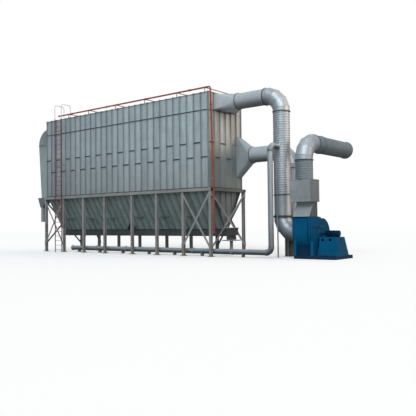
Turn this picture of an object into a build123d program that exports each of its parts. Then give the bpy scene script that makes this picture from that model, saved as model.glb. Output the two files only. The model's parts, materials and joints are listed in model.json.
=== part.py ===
"""Modular bag-filter dust collector with its fan, ducts and silencer, in millimetres.

The origin is the underside of the front left column's base plate. +X runs along the row of
panels towards the fan, +Y from the front to the rear and +Z up.
"""

import math
import os

from build123d import *

os.makedirs("parts", exist_ok=True)

# Panel grid of the housing
panel_pitch = 500
panels_long = 28
panels_deep = 6
sheet = 6
seam_depth = 50
seam_width = 24
rail_depth = 40
rail_thickness = 10
end_wall_set_in = 100

# Levels above the ground
beam_top = 3650
lower_joint = 5340
upper_joint = 6130
plenum_level = 7850
roof_level = 8770

# Steel frame
column_size = 150
column_flange = 12
column_web = 10
middle_bay = 2400
inner_bay = 2000
base_plate_size = 300
base_plate_thickness = 20
anchor_pitch = 220
anchor_radius = 13
beam_width = 220
beam_depth = 160
beam_wall = 14
brace_width = 65
brace_thickness = 10
brace_rise = 2900
brace_top_drop = 85

# Hopper and its two screw troughs
hopper_lip = 100
hopper_bottom = 1450
trough_width = 350
trough_depth = 400
trough_flange = 40
saddle_height = 500
saddle_half_width = 250
vibrator_bar_length = 600
vibrator_bar_height = 90
vibrator_bar_depth = 80
vibrator_level = 2200

# Round ducts
duct_radius = 425
duct_wall = 6
duct_flange = 40
duct_flange_thickness = 8
elbow_radius = 900
elbow_pieces = 5
transition_sides = 24

# Clean-air outlet and suction line
outlet_axis_z = 8335
outlet_base_width = 2000
outlet_base_height = 820
outlet_base_low = 7895
outlet_length = 900
suction_x = 17700
spiral_bottom = 3165
suction_elbow_top = 2080
stand_leg = 50

# Dirty-air inlet line
inlet_y = 2500
inlet_axis_z = 5500
hood_width = 500
hood_rear = 2980
hood_low = 4325
hood_high = 6600
hood_length = 1100

# Fan
fan_axis_z = 1200
fan_inlet_side = 18850
fan_width = 1050
fan_front = 500
scroll_radius = 960
scroll_step = 110
scroll_centre_z = 1290
fan_outlet_depth = 850
fan_outlet_width = 900
fan_outlet_z = 2015
side_plate = 14
side_plate_lip = 35
fan_inlet_radius = 520
fan_base_height = 160
fan_base_rail = 140
pedestal_length = 1150
pedestal_depth = 980
pedestal_top_z = 1040
pedestal_left_slope = 140
pedestal_right_slope = 210
pedestal_wall = 12
pedestal_hole_radius = 68
pedestal_hole_pitch = 400
pedestal_hole_x = 470
pedestal_hole_drop = 130
motor_gap = 230
motor_radius = 135
motor_length = 520
motor_fin_count = 24
motor_fin_height = 20
motor_fin_width = 8
motor_foot_length = 120
motor_foot_width = 380
motor_foot_thickness = 20
cowl_length = 180
cowl_rounding = 30
shaft_radius = 50

# Fan outlet, silencer and exhaust
neck_depth = 450
neck_z = 2600
silencer_low = 2750
silencer_height = 1080
silencer_length = 1120
silencer_depth = 900
exhaust_x = 19250
exhaust_y = 1000
exhaust_elbow_z = 4790
exhaust_flange_y = 2605
exhaust_end_y = 5600

# Conveying pipe, rotary valve and drop pipe
pipe_radius = 140
pipe_y = 375
pipe_z = 275
pipe_left = 2350
pipe_bend = 300
pipe_pieces = 4
pipe_top_z = 5600
pipe_flange = 25
saddle_width = 240
saddle_length = 60
saddle_xs = (3000, 5000, 7100, 9300, 11300, 13300, 16000)
head_length = 520
head_width = 640
head_low = 1100
head_top = 1480
head_lid = 20
head_lid_lip = 40
valve_x = 14440
valve_radius = 140
valve_length = 480
valve_plate_width = 960
valve_plate_length = 560
valve_plate_thickness = 20
drop_radius = 90

# Fire pipes
fire_radius = 45
fire_main_y = 60
fire_main_rise = 265
fire_main_left = 1300
fire_riser_gap = 25
fire_riser_low = 1240
fire_bend = 110
fire_joint_set_in = 220
fire_branch_radius = 24
fire_branch_end = 2800
fire_stand_size = 40
fire_stand_bays = (4, 8, 13, 18, 23, 27)
coupling_radius = 62
coupling_length = 90

# Ladder
ladder_x = 1685
ladder_y = -290
ladder_width = 680
stile_depth = 60
stile_thickness = 14
rung_radius = 13
rung_pitch = 300
rung_count = 29
bracket_height = 40
bracket_levels = (5700, 8300)
loop_radius = 21
loop_rise = 930
loop_reach = 740
loop_bend = 160

# Drop-out leg on the left end
leg_front = 130
leg_width = 600
leg_bend_radius = 1050
leg_bend_z = 7250
leg_foot_length = 770
leg_hopper_reach = 1200
leg_hopper_low = 3000
spout_radius = 140
spout_low = 2000
spout_x = -960
spout_flange = 45

# Sizes that follow from these
housing_length = panels_long * panel_pitch
housing_depth = panels_deep * panel_pitch
frame_length = housing_length + 2 * end_wall_set_in
frame_depth = housing_depth
end_bay = (frame_length - middle_bay - 4 * inner_bay) / 2
bays = (end_bay, inner_bay, inner_bay, middle_bay, inner_bay, inner_bay, end_bay)
column_xs = [sum(bays[:i]) for i in range(len(bays) + 1)]
left_wall = end_wall_set_in
right_wall = end_wall_set_in + housing_length
front_wall = 0
rear_wall = housing_depth
mid_x = frame_length / 2
mid_y = frame_depth / 2
beam_bottom = beam_top - beam_depth
column_height = beam_bottom - base_plate_thickness
hopper_side = beam_width / 2
hopper_left = beam_width / 2
hopper_right = frame_length - beam_width / 2
trough_side = mid_y - trough_width / 2
right_seams = right_wall + seam_depth
left_seams = left_wall - seam_depth
roof_top = roof_level + sheet
fire_main_z = roof_level + fire_main_rise
loop_top = roof_level + loop_rise
fire_top_x = right_seams + fire_riser_gap + fire_radius
fire_foot_x = frame_length + beam_width / 2 + fire_riser_gap + fire_radius
fire_joint_x = fire_top_x - fire_joint_set_in

CENTRE_LOW = (Align.CENTER, Align.CENTER, Align.MIN)


# Steel frame


def brace_bar(plane, start, end):
    """Flat bar between two points of a plane, thickened along the plane's normal."""
    run = math.dist(start, end)
    slope = math.degrees(math.atan2(end[1] - start[1], end[0] - start[0]))
    with BuildPart() as bar:
        with BuildSketch(plane):
            with Locations(Location(((start[0] + end[0]) / 2, (start[1] + end[1]) / 2, 0), slope)):
                Rectangle(run, brace_width)
        extrude(amount=brace_thickness)
    return bar.part


def braced_bays():
    """Each braced bay as its outward plane and its width."""
    face = column_size / 2
    last = column_xs[-2]
    return (
        (Plane((0, -face, 0), x_dir=(1, 0, 0), z_dir=(0, -1, 0)), end_bay),
        (Plane((last, -face, 0), x_dir=(1, 0, 0), z_dir=(0, -1, 0)), end_bay),
        (Plane((end_bay, frame_depth + face, 0), x_dir=(-1, 0, 0), z_dir=(0, 1, 0)), end_bay),
        (Plane((frame_length, frame_depth + face, 0), x_dir=(-1, 0, 0), z_dir=(0, 1, 0)), end_bay),
        (Plane((-face, frame_depth, 0), x_dir=(0, -1, 0), z_dir=(-1, 0, 0)), frame_depth),
        (Plane((frame_length + face, 0, 0), x_dir=(0, 1, 0), z_dir=(1, 0, 0)), frame_depth),
    )


base_points = [(x, y) for y in (0, frame_depth) for x in column_xs]
with BuildPart() as base_plates:
    with BuildSketch():
        with Locations(*base_points):
            Rectangle(base_plate_size, base_plate_size)
        with Locations(*base_points):
            with GridLocations(anchor_pitch, anchor_pitch, 2, 2):
                Circle(anchor_radius, mode=Mode.SUBTRACT)
    extrude(amount=base_plate_thickness)
base_plates.part.label = "base_plates"
export_step(base_plates.part, "parts/base_plates.step")

with BuildPart() as columns:
    with BuildSketch(Plane.XY.offset(base_plate_thickness)):
        with Locations(*base_points):
            Rectangle(column_web, column_size)
            with GridLocations(1, column_size - column_flange, 1, 2):
                Rectangle(column_size, column_flange)
    extrude(amount=column_height)
columns.part.label = "columns"
export_step(columns.part, "parts/columns.step")

with BuildPart() as side_beams:
    with BuildSketch(Plane.YZ.offset(-beam_width / 2)):
        with Locations((0, beam_bottom), (frame_depth, beam_bottom)):
            Rectangle(beam_width, beam_depth, align=(Align.CENTER, Align.MIN))
        with Locations((beam_wall, beam_bottom + beam_wall)):
            Rectangle(
                beam_width,
                beam_depth - 2 * beam_wall,
                align=(Align.CENTER, Align.MIN),
                mode=Mode.SUBTRACT,
            )
        with Locations((frame_depth - beam_wall, beam_bottom + beam_wall)):
            Rectangle(
                beam_width,
                beam_depth - 2 * beam_wall,
                align=(Align.CENTER, Align.MIN),
                mode=Mode.SUBTRACT,
            )
    extrude(amount=frame_length + beam_width)
side_beams.part.label = "side_beams"
export_step(side_beams.part, "parts/side_beams.step")

with BuildPart() as end_beams:
    with BuildSketch(Plane.XZ.offset(-beam_width / 2)):
        for x, side in ((0, 1), (frame_length, -1)):
            with Locations((x, beam_bottom)):
                Rectangle(beam_width, beam_depth, align=(Align.CENTER, Align.MIN))
            with Locations((x + side * beam_wall, beam_bottom + beam_wall)):
                Rectangle(
                    beam_width,
                    beam_depth - 2 * beam_wall,
                    align=(Align.CENTER, Align.MIN),
                    mode=Mode.SUBTRACT,
                )
    extrude(amount=-(frame_depth - beam_width))
end_beams.part.label = "end_beams"
export_step(end_beams.part, "parts/end_beams.step")

brace_top = beam_bottom - brace_top_drop
brace_low = brace_top - brace_rise
with BuildPart() as braces_whole:
    for plane, width in braced_bays():
        add(brace_bar(plane, (0, brace_low), (width, brace_top)))
braces_whole.part.label = "braces_whole"
export_step(braces_whole.part, "parts/braces_whole.step")

with BuildPart() as braces_split:
    for plane, width in braced_bays():
        add(brace_bar(plane, (0, brace_top), (width, brace_low)))
    add(braces_whole.part, mode=Mode.SUBTRACT)
braces_split.part.label = "braces_split"
export_step(braces_split.part, "parts/braces_split.step")


# Panelled walls and roof


def panel_wall(corner, along, panels, end_gap, openings):
    """Wall of sheet panels with standing seams, seen from outside with `along` to the right.

    Rails close the foot, the plenum joint and the top, and short cross joints sit at two
    heights by turns. Each opening is (start, end, low, high) in the wall's run and in levels.
    """
    foot = Plane((*corner, 0), x_dir=along, z_dir=(0, 0, 1))
    length = panels * panel_pitch
    plate_length = length - 2 * end_gap
    seam_limit = end_gap + seam_width / 2
    seam_xs = [
        min(max(i * panel_pitch, seam_limit), length - seam_limit) for i in range(panels + 1)
    ]
    with BuildPart() as wall:
        with BuildSketch(foot.offset(beam_top)):
            with Locations((length / 2, 0)):
                Rectangle(plate_length, sheet, align=(Align.CENTER, Align.MIN))
            with Locations(*[(x, 0) for x in seam_xs]):
                Rectangle(seam_width, seam_depth, align=(Align.CENTER, Align.MAX))
        extrude(amount=roof_level - beam_top)
        for rail_z in (beam_top, plenum_level, roof_level - rail_thickness):
            with BuildSketch(foot.offset(rail_z)):
                with Locations((length / 2, 0)):
                    Rectangle(plate_length, rail_depth, align=(Align.CENTER, Align.MAX))
            extrude(amount=rail_thickness)
        for first, joint_z in enumerate((upper_joint, lower_joint)):
            with BuildSketch(foot.offset(joint_z)):
                with Locations(*[((i + 0.5) * panel_pitch, 0) for i in range(first, panels, 2)]):
                    Rectangle(panel_pitch, rail_depth, align=(Align.CENTER, Align.MAX))
            extrude(amount=rail_thickness)
        for start, end, low, high in openings:
            with BuildSketch(foot.offset(low)):
                with Locations(((start + end) / 2, 0)):
                    Rectangle(end - start, 2 * (seam_depth + sheet))
            extrude(amount=high - low, mode=Mode.SUBTRACT)
    return wall.part


hood_start = hood_rear - hood_width - front_wall
outlet_start = mid_y - outlet_base_width / 2 - front_wall
end_openings = (
    (
        hood_start + seam_depth,
        hood_start + hood_width - seam_depth,
        hood_low + seam_depth,
        hood_high - seam_depth,
    ),
    (
        outlet_start + seam_depth,
        outlet_start + outlet_base_width - seam_depth,
        outlet_base_low + seam_depth,
        outlet_base_low + outlet_base_height - seam_depth,
    ),
)
walls = {
    "front_wall": panel_wall((left_wall, front_wall), (1, 0, 0), panels_long, 0, ()),
    "rear_wall": panel_wall((right_wall, rear_wall), (-1, 0, 0), panels_long, 0, ()),
    "left_wall": panel_wall((left_wall, rear_wall), (0, -1, 0), panels_deep, sheet, ()),
    "right_wall": panel_wall((right_wall, front_wall), (0, 1, 0), panels_deep, sheet, end_openings),
}
for wall_name, wall_part in walls.items():
    wall_part.label = wall_name
    export_step(wall_part, f"parts/{wall_name}.step")

with BuildPart() as roof:
    with BuildSketch(Plane.XZ.offset(seam_depth - front_wall)):
        with Locations((mid_x, roof_level)):
            Rectangle(housing_length + 2 * seam_depth, sheet, align=(Align.CENTER, Align.MIN))
        seam_tops = [(left_wall + i * panel_pitch, roof_top) for i in range(panels_long + 1)]
        with Locations(*seam_tops):
            Rectangle(seam_width, rail_depth, align=(Align.CENTER, Align.MIN))
    extrude(amount=-(housing_depth + 2 * seam_depth))
roof.part.label = "roof"
export_step(roof.part, "parts/roof.step")


# Hopper

hopper_run = trough_side - hopper_side
hopper_rise = beam_bottom - hopper_bottom
slope_length = math.hypot(hopper_run, hopper_rise)
slope_cos = hopper_rise / slope_length
slope_sin = hopper_run / slope_length
slope_left = hopper_left + sheet
slope_right = hopper_right - sheet
notch_up_slope = saddle_height / slope_cos

with BuildPart() as hopper_front:
    slope_plane = Plane(
        (0, trough_side, hopper_bottom), x_dir=(1, 0, 0), z_dir=(0, -slope_cos, -slope_sin)
    )
    with BuildSketch(slope_plane) as slope_face:
        with BuildLine():
            Polyline(
                (slope_left, 0),
                (mid_x - saddle_half_width, 0),
                (mid_x, notch_up_slope),
                (mid_x + saddle_half_width, 0),
                (slope_right, 0),
                (slope_right, slope_length),
                (slope_left, slope_length),
                close=True,
            )
        make_face()
    extrude(amount=-sheet)
    with BuildSketch(slope_plane):
        seam_feet = [(left_wall + i * panel_pitch, seam_depth) for i in range(1, panels_long)]
        with Locations(*seam_feet):
            Rectangle(seam_width, slope_length - 2 * seam_depth, align=(Align.CENTER, Align.MIN))
        add(slope_face.sketch_local, mode=Mode.INTERSECT)
    extrude(amount=rail_depth)
    with Locations((mid_x, hopper_side, beam_bottom)):
        Box(
            slope_right - slope_left,
            sheet,
            hopper_lip,
            align=(Align.CENTER, Align.MIN, Align.MIN),
        )
hopper_front.part.label = "hopper_front"
export_step(hopper_front.part, "parts/hopper_front.step")

bar_xs = [left_wall + (x - left_wall) // panel_pitch * panel_pitch for x in column_xs[1:-1]]
bar_up_slope = (vibrator_level - hopper_bottom) / slope_cos
with BuildPart() as vibrator_bars:
    with BuildSketch(slope_plane):
        with Locations(*[(x, bar_up_slope) for x in bar_xs]):
            Rectangle(vibrator_bar_length, vibrator_bar_height)
    extrude(amount=vibrator_bar_depth)
    add(hopper_front.part, mode=Mode.SUBTRACT)
vibrator_bars.part.label = "vibrator_bars"
export_step(vibrator_bars.part, "parts/vibrator_bars.step")

with BuildPart() as hopper_rear:
    mirror(hopper_front.part, about=Plane.XZ.offset(-mid_y))
hopper_rear.part.label = "hopper_rear"
export_step(hopper_rear.part, "parts/hopper_rear.step")


def hopper_gable(plane):
    """End plate of the hopper on a plane whose normal points out, with upright stiffeners."""
    with BuildPart() as gable:
        with BuildSketch(plane) as face:
            with BuildLine():
                Polyline(
                    (-mid_y + hopper_side, beam_bottom + hopper_lip),
                    (-mid_y + hopper_side, beam_bottom),
                    (-trough_width / 2, hopper_bottom),
                    (trough_width / 2, hopper_bottom),
                    (mid_y - hopper_side, beam_bottom),
                    (mid_y - hopper_side, beam_bottom + hopper_lip),
                    close=True,
                )
            make_face()
        extrude(amount=-sheet)
        with BuildSketch(plane):
            with Locations((0, hopper_bottom)):
                with GridLocations(panel_pitch, 1, panels_deep - 1, 1):
                    Rectangle(seam_width, hopper_rise, align=(Align.CENTER, Align.MIN))
            add(face.sketch_local, mode=Mode.INTERSECT)
        extrude(amount=rail_depth)
    return gable.part


saddle_slant = math.hypot(saddle_half_width, saddle_height)
saddle_low_half = trough_width / 2 - sheet / slope_cos
saddle_high_half = saddle_low_half + saddle_height * slope_sin / slope_cos
with BuildPart() as hopper_ends:
    add(hopper_gable(Plane((hopper_left, mid_y, 0), x_dir=(0, -1, 0), z_dir=(-1, 0, 0))))
    add(hopper_gable(Plane((hopper_right, mid_y, 0), x_dir=(0, 1, 0), z_dir=(1, 0, 0))))
    for side in (-1, 1):
        saddle_plane = Plane(
            (mid_x + side * saddle_half_width, mid_y, hopper_bottom),
            x_dir=(0, side, 0),
            z_dir=(side * saddle_height / saddle_slant, 0, saddle_half_width / saddle_slant),
        )
        with BuildSketch(saddle_plane):
            with BuildLine():
                Polyline(
                    (-saddle_low_half, 0),
                    (saddle_low_half, 0),
                    (saddle_high_half, saddle_slant),
                    (-saddle_high_half, saddle_slant),
                    close=True,
                )
            make_face()
        extrude(amount=sheet)
hopper_ends.part.label = "hopper_ends"
export_step(hopper_ends.part, "parts/hopper_ends.step")

head_start = right_seams
trough_spans = (
    (hopper_left, mid_x - saddle_half_width),
    (mid_x + saddle_half_width, head_start),
)
trough_low = hopper_bottom - trough_depth
saddle_spread = saddle_half_width * (1 + trough_depth / saddle_height)
with BuildPart() as screw_troughs:
    with BuildSketch(Plane.XZ.offset(-mid_y)):
        for outer, side in ((hopper_left, -1), (head_start, 1)):
            with BuildLine():
                Polyline(
                    (outer, hopper_bottom),
                    (mid_x + side * saddle_half_width, hopper_bottom),
                    (mid_x + side * saddle_spread, trough_low),
                    (outer, trough_low),
                    close=True,
                )
            make_face()
    extrude(amount=trough_width / 2, both=True)
    for start, end in trough_spans:
        with Locations((start, mid_y, hopper_bottom)):
            Box(
                end - start,
                trough_width + 2 * trough_flange,
                rail_thickness,
                align=(Align.MIN, Align.CENTER, Align.MAX),
            )
screw_troughs.part.label = "screw_troughs"
export_step(screw_troughs.part, "parts/screw_troughs.step")

# Discharge head, rotary valve and drop pipe

with BuildPart() as discharge_head:
    with Locations((head_start, mid_y, head_low)):
        Box(
            head_length,
            head_width,
            head_top - head_low,
            align=(Align.MIN, Align.CENTER, Align.MIN),
        )
    with Locations((head_start, mid_y, head_top)):
        Box(
            head_length + head_lid_lip,
            head_width + 2 * head_lid_lip,
            head_lid,
            align=(Align.MIN, Align.CENTER, Align.MIN),
        )
discharge_head.part.label = "discharge_head"
export_step(discharge_head.part, "parts/discharge_head.step")

valve_axis_z = head_low - valve_radius
valve_low = head_low - 2 * valve_radius
with BuildPart() as rotary_valve:
    with BuildSketch(Plane.XZ.offset(-mid_y)):
        with Locations((valve_x, valve_axis_z)):
            Circle(valve_radius)
            Rectangle(2 * valve_radius - 2 * sheet, 2 * valve_radius)
    extrude(amount=valve_length / 2, both=True)
    with Locations((valve_x, mid_y, valve_low)):
        Box(
            valve_plate_length,
            valve_plate_width,
            valve_plate_thickness,
            align=(Align.CENTER, Align.CENTER, Align.MAX),
        )
    for side in (-1, 1):
        with BuildSketch(Plane.XZ.offset(-mid_y - side * valve_length / 2)):
            with Locations((valve_x, valve_axis_z)):
                Circle(valve_radius - 2 * sheet)
        extrude(amount=-side * seam_depth)
rotary_valve.part.label = "rotary_valve"
export_step(rotary_valve.part, "parts/rotary_valve.step")

with BuildPart() as drop_pipe:
    drop_top = valve_low - valve_plate_thickness
    with BuildLine():
        drop_path = FilletPolyline(
            (valve_x, mid_y, drop_top),
            (valve_x, mid_y, pipe_z),
            (valve_x, pipe_y, pipe_z),
            radius=2 * drop_radius,
        )
    with BuildSketch(Plane((valve_x, mid_y, drop_top), z_dir=(0, 0, -1))):
        Circle(drop_radius)
    sweep(path=drop_path)
    with BuildSketch(Plane.XY.offset(drop_top)):
        with Locations((valve_x, mid_y)):
            Circle(drop_radius + duct_flange)
    extrude(amount=-duct_flange_thickness)
    with BuildSketch(Plane.YZ.offset(valve_x - saddle_width)):
        with Locations((pipe_y, pipe_z)):
            Circle(pipe_radius)
    extrude(amount=2 * saddle_width, mode=Mode.SUBTRACT)
    split(bisect_by=Plane.XZ.offset(-pipe_y), keep=Keep.BOTTOM)
drop_pipe.part.label = "drop_pipe"
export_step(drop_pipe.part, "parts/drop_pipe.step")


# Round ducts


def ring(outer, inner):
    """Annulus in the current sketch."""
    Circle(outer)
    Circle(inner, mode=Mode.SUBTRACT)


def duct(plane, length, radius=duct_radius, lip=duct_flange, flanges=(True, True)):
    """Straight round duct from the plane along its normal, with angle rings on its ends."""
    bore = radius - duct_wall
    with BuildPart() as pipe:
        with BuildSketch(plane):
            ring(radius, bore)
        extrude(amount=length)
        if flanges[0]:
            with BuildSketch(plane):
                ring(radius + lip, bore)
            extrude(amount=duct_flange_thickness)
        if flanges[1]:
            with BuildSketch(plane.offset(length)):
                ring(radius + lip, bore)
            extrude(amount=-duct_flange_thickness)
    return pipe.part


def gore(flat, bend, middle, low, high, radius):
    """Straight piece of a mitred bend round the plane's origin, between two angles in degrees."""

    def across(angle):
        turn = math.radians(angle)
        heading = flat.y_dir * math.cos(turn) - flat.x_dir * math.sin(turn)
        return Plane(flat.origin, x_dir=flat.z_dir, z_dir=heading)

    turn = math.radians(middle)
    centre = flat.from_local_coords((bend * math.cos(turn), bend * math.sin(turn), 0))
    section = Plane(centre, x_dir=flat.z_dir, z_dir=across(middle).z_dir)
    with BuildPart() as piece:
        with BuildSketch(section):
            ring(radius + duct_wall, radius)
        extrude(amount=bend, both=True)
        split(bisect_by=across(low), keep=Keep.TOP)
        split(bisect_by=across(high), keep=Keep.BOTTOM)
    return piece.part


def lobster_back(centre, towards_start, heading, bend, pieces, radius=duct_radius, lip=duct_flange):
    """Quarter bend of mitred gores as wide inside as the duct is outside, with angle rings.

    `centre` is the bend's centre, `towards_start` the way from it to the duct's start and
    `heading` the way the duct runs there.
    """
    out = Vector(*towards_start)
    along = Vector(*heading)
    flat = Plane(centre, x_dir=out, z_dir=out.cross(along))
    turn = 90 / (pieces - 1)
    start = Plane(flat.from_local_coords((bend, 0, 0)), x_dir=flat.z_dir, z_dir=along)
    end = Plane(flat.from_local_coords((0, bend, 0)), x_dir=flat.z_dir, z_dir=-out)
    with BuildPart() as elbow:
        for i in range(pieces):
            low = max(0, turn * (i - 0.5))
            high = min(90, turn * (i + 0.5))
            add(gore(flat, bend, turn * i, low, high, radius))
        for plane, side in ((start, 1), (end, -1)):
            with BuildSketch(plane):
                ring(radius + lip, radius)
            extrude(amount=side * duct_flange_thickness)
    return elbow.part


def bent_hood(base, width, height, axis, length, radius):
    """Solid from a rectangle on the plane to a many-sided end round `axis`, cut by its bends.

    A bend plane holds a corner of the rectangle and one side of the far end, and a flat plane an
    edge of the rectangle and the nearest corner of the far end.
    """
    quarter = transition_sides // 4
    signs = ((1, 1), (-1, 1), (-1, -1), (1, -1))
    corners = [base.from_local_coords((x * width / 2, y * height / 2, 0)) for x, y in signs]
    turns = [2 * math.pi * i / transition_sides for i in range(transition_sides + 1)]
    far_end = [
        base.from_local_coords(
            (axis[0] + radius * math.cos(turn), axis[1] + radius * math.sin(turn), length)
        )
        for turn in turns
    ]
    bends = [
        (far_end[i + 1] - far_end[i], corners[i // quarter], far_end[i])
        for i in range(transition_sides)
    ]
    flats = [(corners[i] - corners[i - 1], corners[i], far_end[quarter * i]) for i in range(4)]
    with BuildPart() as hood:
        with BuildSketch(base):
            Rectangle(width + 2 * radius, height + 2 * radius)
        extrude(amount=length)
        for edge, corner, far_corner in bends + flats:
            outward = edge.cross(far_corner - corner)
            split(bisect_by=Plane(corner, x_dir=edge, z_dir=outward), keep=Keep.BOTTOM)
    return hood.part


def square_to_round(base, width, height, axis, length):
    """Bent sheet transition from a rectangle on the plane to a round duct's angle ring.

    `axis` is the duct's axis in the plane's own coordinates, whose origin is the rectangle's
    middle.
    """
    sheet_length = length - duct_flange_thickness
    with BuildPart() as hood:
        for inset, mode in ((0, Mode.ADD), (duct_wall, Mode.SUBTRACT)):
            inner_width = width - 2 * inset
            inner_height = height - 2 * inset
            add(
                bent_hood(base, inner_width, inner_height, axis, sheet_length, duct_radius - inset),
                mode=mode,
            )
        with BuildSketch(base.offset(sheet_length)):
            with Locations(axis):
                ring(duct_radius + duct_flange, duct_radius - duct_wall)
        extrude(amount=duct_flange_thickness)
    return hood.part


# Clean-air outlet and suction line

outlet_plane = Plane(
    (right_seams, mid_y, outlet_base_low + outlet_base_height / 2), x_dir=(0, 1, 0), z_dir=(1, 0, 0)
)
outlet_transition = square_to_round(
    outlet_plane,
    outlet_base_width,
    outlet_base_height,
    (0, outlet_axis_z - outlet_base_low - outlet_base_height / 2),
    outlet_length,
)
outlet_transition.label = "outlet_transition"
export_step(outlet_transition, "parts/outlet_transition.step")

outlet_duct_start = right_seams + outlet_length
outlet_bend_x = suction_x - elbow_radius
outlet_duct = duct(
    Plane((outlet_duct_start, mid_y, outlet_axis_z), x_dir=(0, 1, 0), z_dir=(1, 0, 0)),
    outlet_bend_x - outlet_duct_start,
)
outlet_duct.label = "outlet_duct"
export_step(outlet_duct, "parts/outlet_duct.step")

suction_top = outlet_axis_z - elbow_radius
outlet_elbow = lobster_back(
    (outlet_bend_x, mid_y, suction_top), (0, 0, 1), (1, 0, 0), elbow_radius, elbow_pieces
)
outlet_elbow.label = "outlet_elbow"
export_step(outlet_elbow, "parts/outlet_elbow.step")

suction_riser = duct(
    Plane((suction_x, mid_y, spiral_bottom)), suction_top - spiral_bottom
)
suction_riser.label = "suction_riser"
export_step(suction_riser, "parts/suction_riser.step")

suction_pipe = duct(
    Plane((suction_x, mid_y, suction_elbow_top)), spiral_bottom - suction_elbow_top
)
suction_pipe.label = "suction_pipe"
export_step(suction_pipe, "parts/suction_pipe.step")

suction_bend = suction_elbow_top - fan_axis_z
suction_elbow = lobster_back(
    (suction_x + suction_bend, mid_y, suction_elbow_top),
    (-1, 0, 0),
    (0, 0, -1),
    suction_bend,
    elbow_pieces,
)
suction_elbow.label = "suction_elbow"
export_step(suction_elbow, "parts/suction_elbow.step")

with BuildPart() as suction_stand:
    reach = duct_radius + duct_flange + stand_leg / 2
    with Locations((suction_x, mid_y - reach, 0), (suction_x, mid_y + reach, 0)):
        Box(stand_leg, stand_leg, suction_elbow_top + stand_leg, align=CENTRE_LOW)
suction_stand.part.label = "suction_stand"
export_step(suction_stand.part, "parts/suction_stand.step")

# Dirty-air inlet line

hood_y = hood_rear - hood_width / 2
hood_plane = Plane(
    (right_seams, hood_y, (hood_low + hood_high) / 2), x_dir=(0, 1, 0), z_dir=(1, 0, 0)
)
inlet_hood = square_to_round(
    hood_plane,
    hood_width,
    hood_high - hood_low,
    (inlet_y - hood_y, inlet_axis_z - (hood_low + hood_high) / 2),
    hood_length,
)
inlet_hood.label = "inlet_hood"
export_step(inlet_hood, "parts/inlet_hood.step")

inlet_duct_start = right_seams + hood_length
inlet_duct = duct(
    Plane((inlet_duct_start, inlet_y, inlet_axis_z), x_dir=(0, 1, 0), z_dir=(1, 0, 0)),
    outlet_bend_x - inlet_duct_start,
)
inlet_duct.label = "inlet_duct"
export_step(inlet_duct, "parts/inlet_duct.step")

inlet_riser_top = inlet_axis_z - elbow_radius
inlet_elbow = lobster_back(
    (outlet_bend_x, inlet_y, inlet_riser_top), (0, 0, 1), (1, 0, 0), elbow_radius, elbow_pieces
)
inlet_elbow.label = "inlet_elbow"
export_step(inlet_elbow, "parts/inlet_elbow.step")

inlet_riser = duct(Plane((suction_x, inlet_y, 0)), inlet_riser_top)
inlet_riser.label = "inlet_riser"
export_step(inlet_riser, "parts/inlet_riser.step")

# Fan

fan_drive_side = fan_inlet_side + fan_width
fan_back = fan_front + fan_outlet_depth
scroll_mid = scroll_radius - scroll_step
scroll_small = scroll_radius - 2 * scroll_step
scroll_top_y = fan_front + scroll_radius + scroll_mid - scroll_small
scroll_top_z = scroll_centre_z - scroll_step + scroll_small

foot_span = scroll_mid / 2
base_front = mid_y - scroll_mid
base_rear = mid_y + scroll_mid
foot_corners = (
    (base_front - fan_base_rail / 2, Align.MIN),
    (base_rear + fan_base_rail / 2, Align.MAX),
)
with BuildPart() as fan_casing:
    with BuildSketch(Plane.YZ.offset(fan_inlet_side)) as scroll:
        with BuildLine():
            Line((fan_front, fan_outlet_z), (fan_front, scroll_centre_z))
            front_arc = JernArc((fan_front, scroll_centre_z), (0, -1), scroll_radius, 90)
            low_arc = JernArc(front_arc @ 1, (1, 0), scroll_mid, 90)
            back_arc = JernArc(low_arc @ 1, (0, 1), scroll_small, 90)
            Polyline(
                back_arc @ 1,
                (fan_back, scroll_top_z),
                (fan_back, fan_outlet_z),
                (fan_front, fan_outlet_z),
            )
        make_face()
    extrude(amount=fan_width)
    for start in (fan_inlet_side, fan_drive_side - side_plate):
        with BuildSketch(Plane.YZ.offset(start)):
            add(scroll.sketch_local)
            offset(amount=side_plate_lip, kind=Kind.INTERSECTION)
            with Locations((mid_y, fan_outlet_z)):
                Rectangle(
                    4 * scroll_radius,
                    scroll_radius,
                    align=(Align.CENTER, Align.MIN),
                    mode=Mode.SUBTRACT,
                )
        extrude(amount=side_plate)
    for start in (fan_inlet_side, fan_drive_side - fan_base_rail):
        with BuildSketch(Plane.YZ.offset(start)):
            for y, align in foot_corners:
                with Locations((y, fan_base_height)):
                    Rectangle(foot_span, scroll_centre_z - fan_base_height, align=(align, Align.MIN))
        extrude(amount=fan_base_rail)
fan_casing.part.label = "fan_casing"
export_step(fan_casing.part, "parts/fan_casing.step")

fan_eye = suction_x + suction_bend
inlet_reach = fan_inlet_side - fan_eye
inlet_flare = (fan_inlet_radius - duct_radius) / inlet_reach * duct_flange_thickness
with BuildPart() as fan_inlet:
    eye = (fan_eye, mid_y, fan_axis_z)
    with BuildSketch(Plane(eye, x_dir=(1, 0, 0), z_dir=(0, -1, 0))):
        with BuildLine():
            Polyline(
                (0, duct_radius - duct_wall),
                (inlet_reach, fan_inlet_radius - duct_wall),
                (inlet_reach, fan_inlet_radius + duct_flange),
                (inlet_reach - duct_flange_thickness, fan_inlet_radius + duct_flange),
                (inlet_reach - duct_flange_thickness, fan_inlet_radius - inlet_flare),
                (duct_flange_thickness, duct_radius + inlet_flare),
                (duct_flange_thickness, duct_radius + duct_flange),
                (0, duct_radius + duct_flange),
                close=True,
            )
        make_face()
    revolve(axis=Axis(eye, (1, 0, 0)))
fan_inlet.part.label = "fan_inlet"
export_step(fan_inlet.part, "parts/fan_inlet.step")

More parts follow.
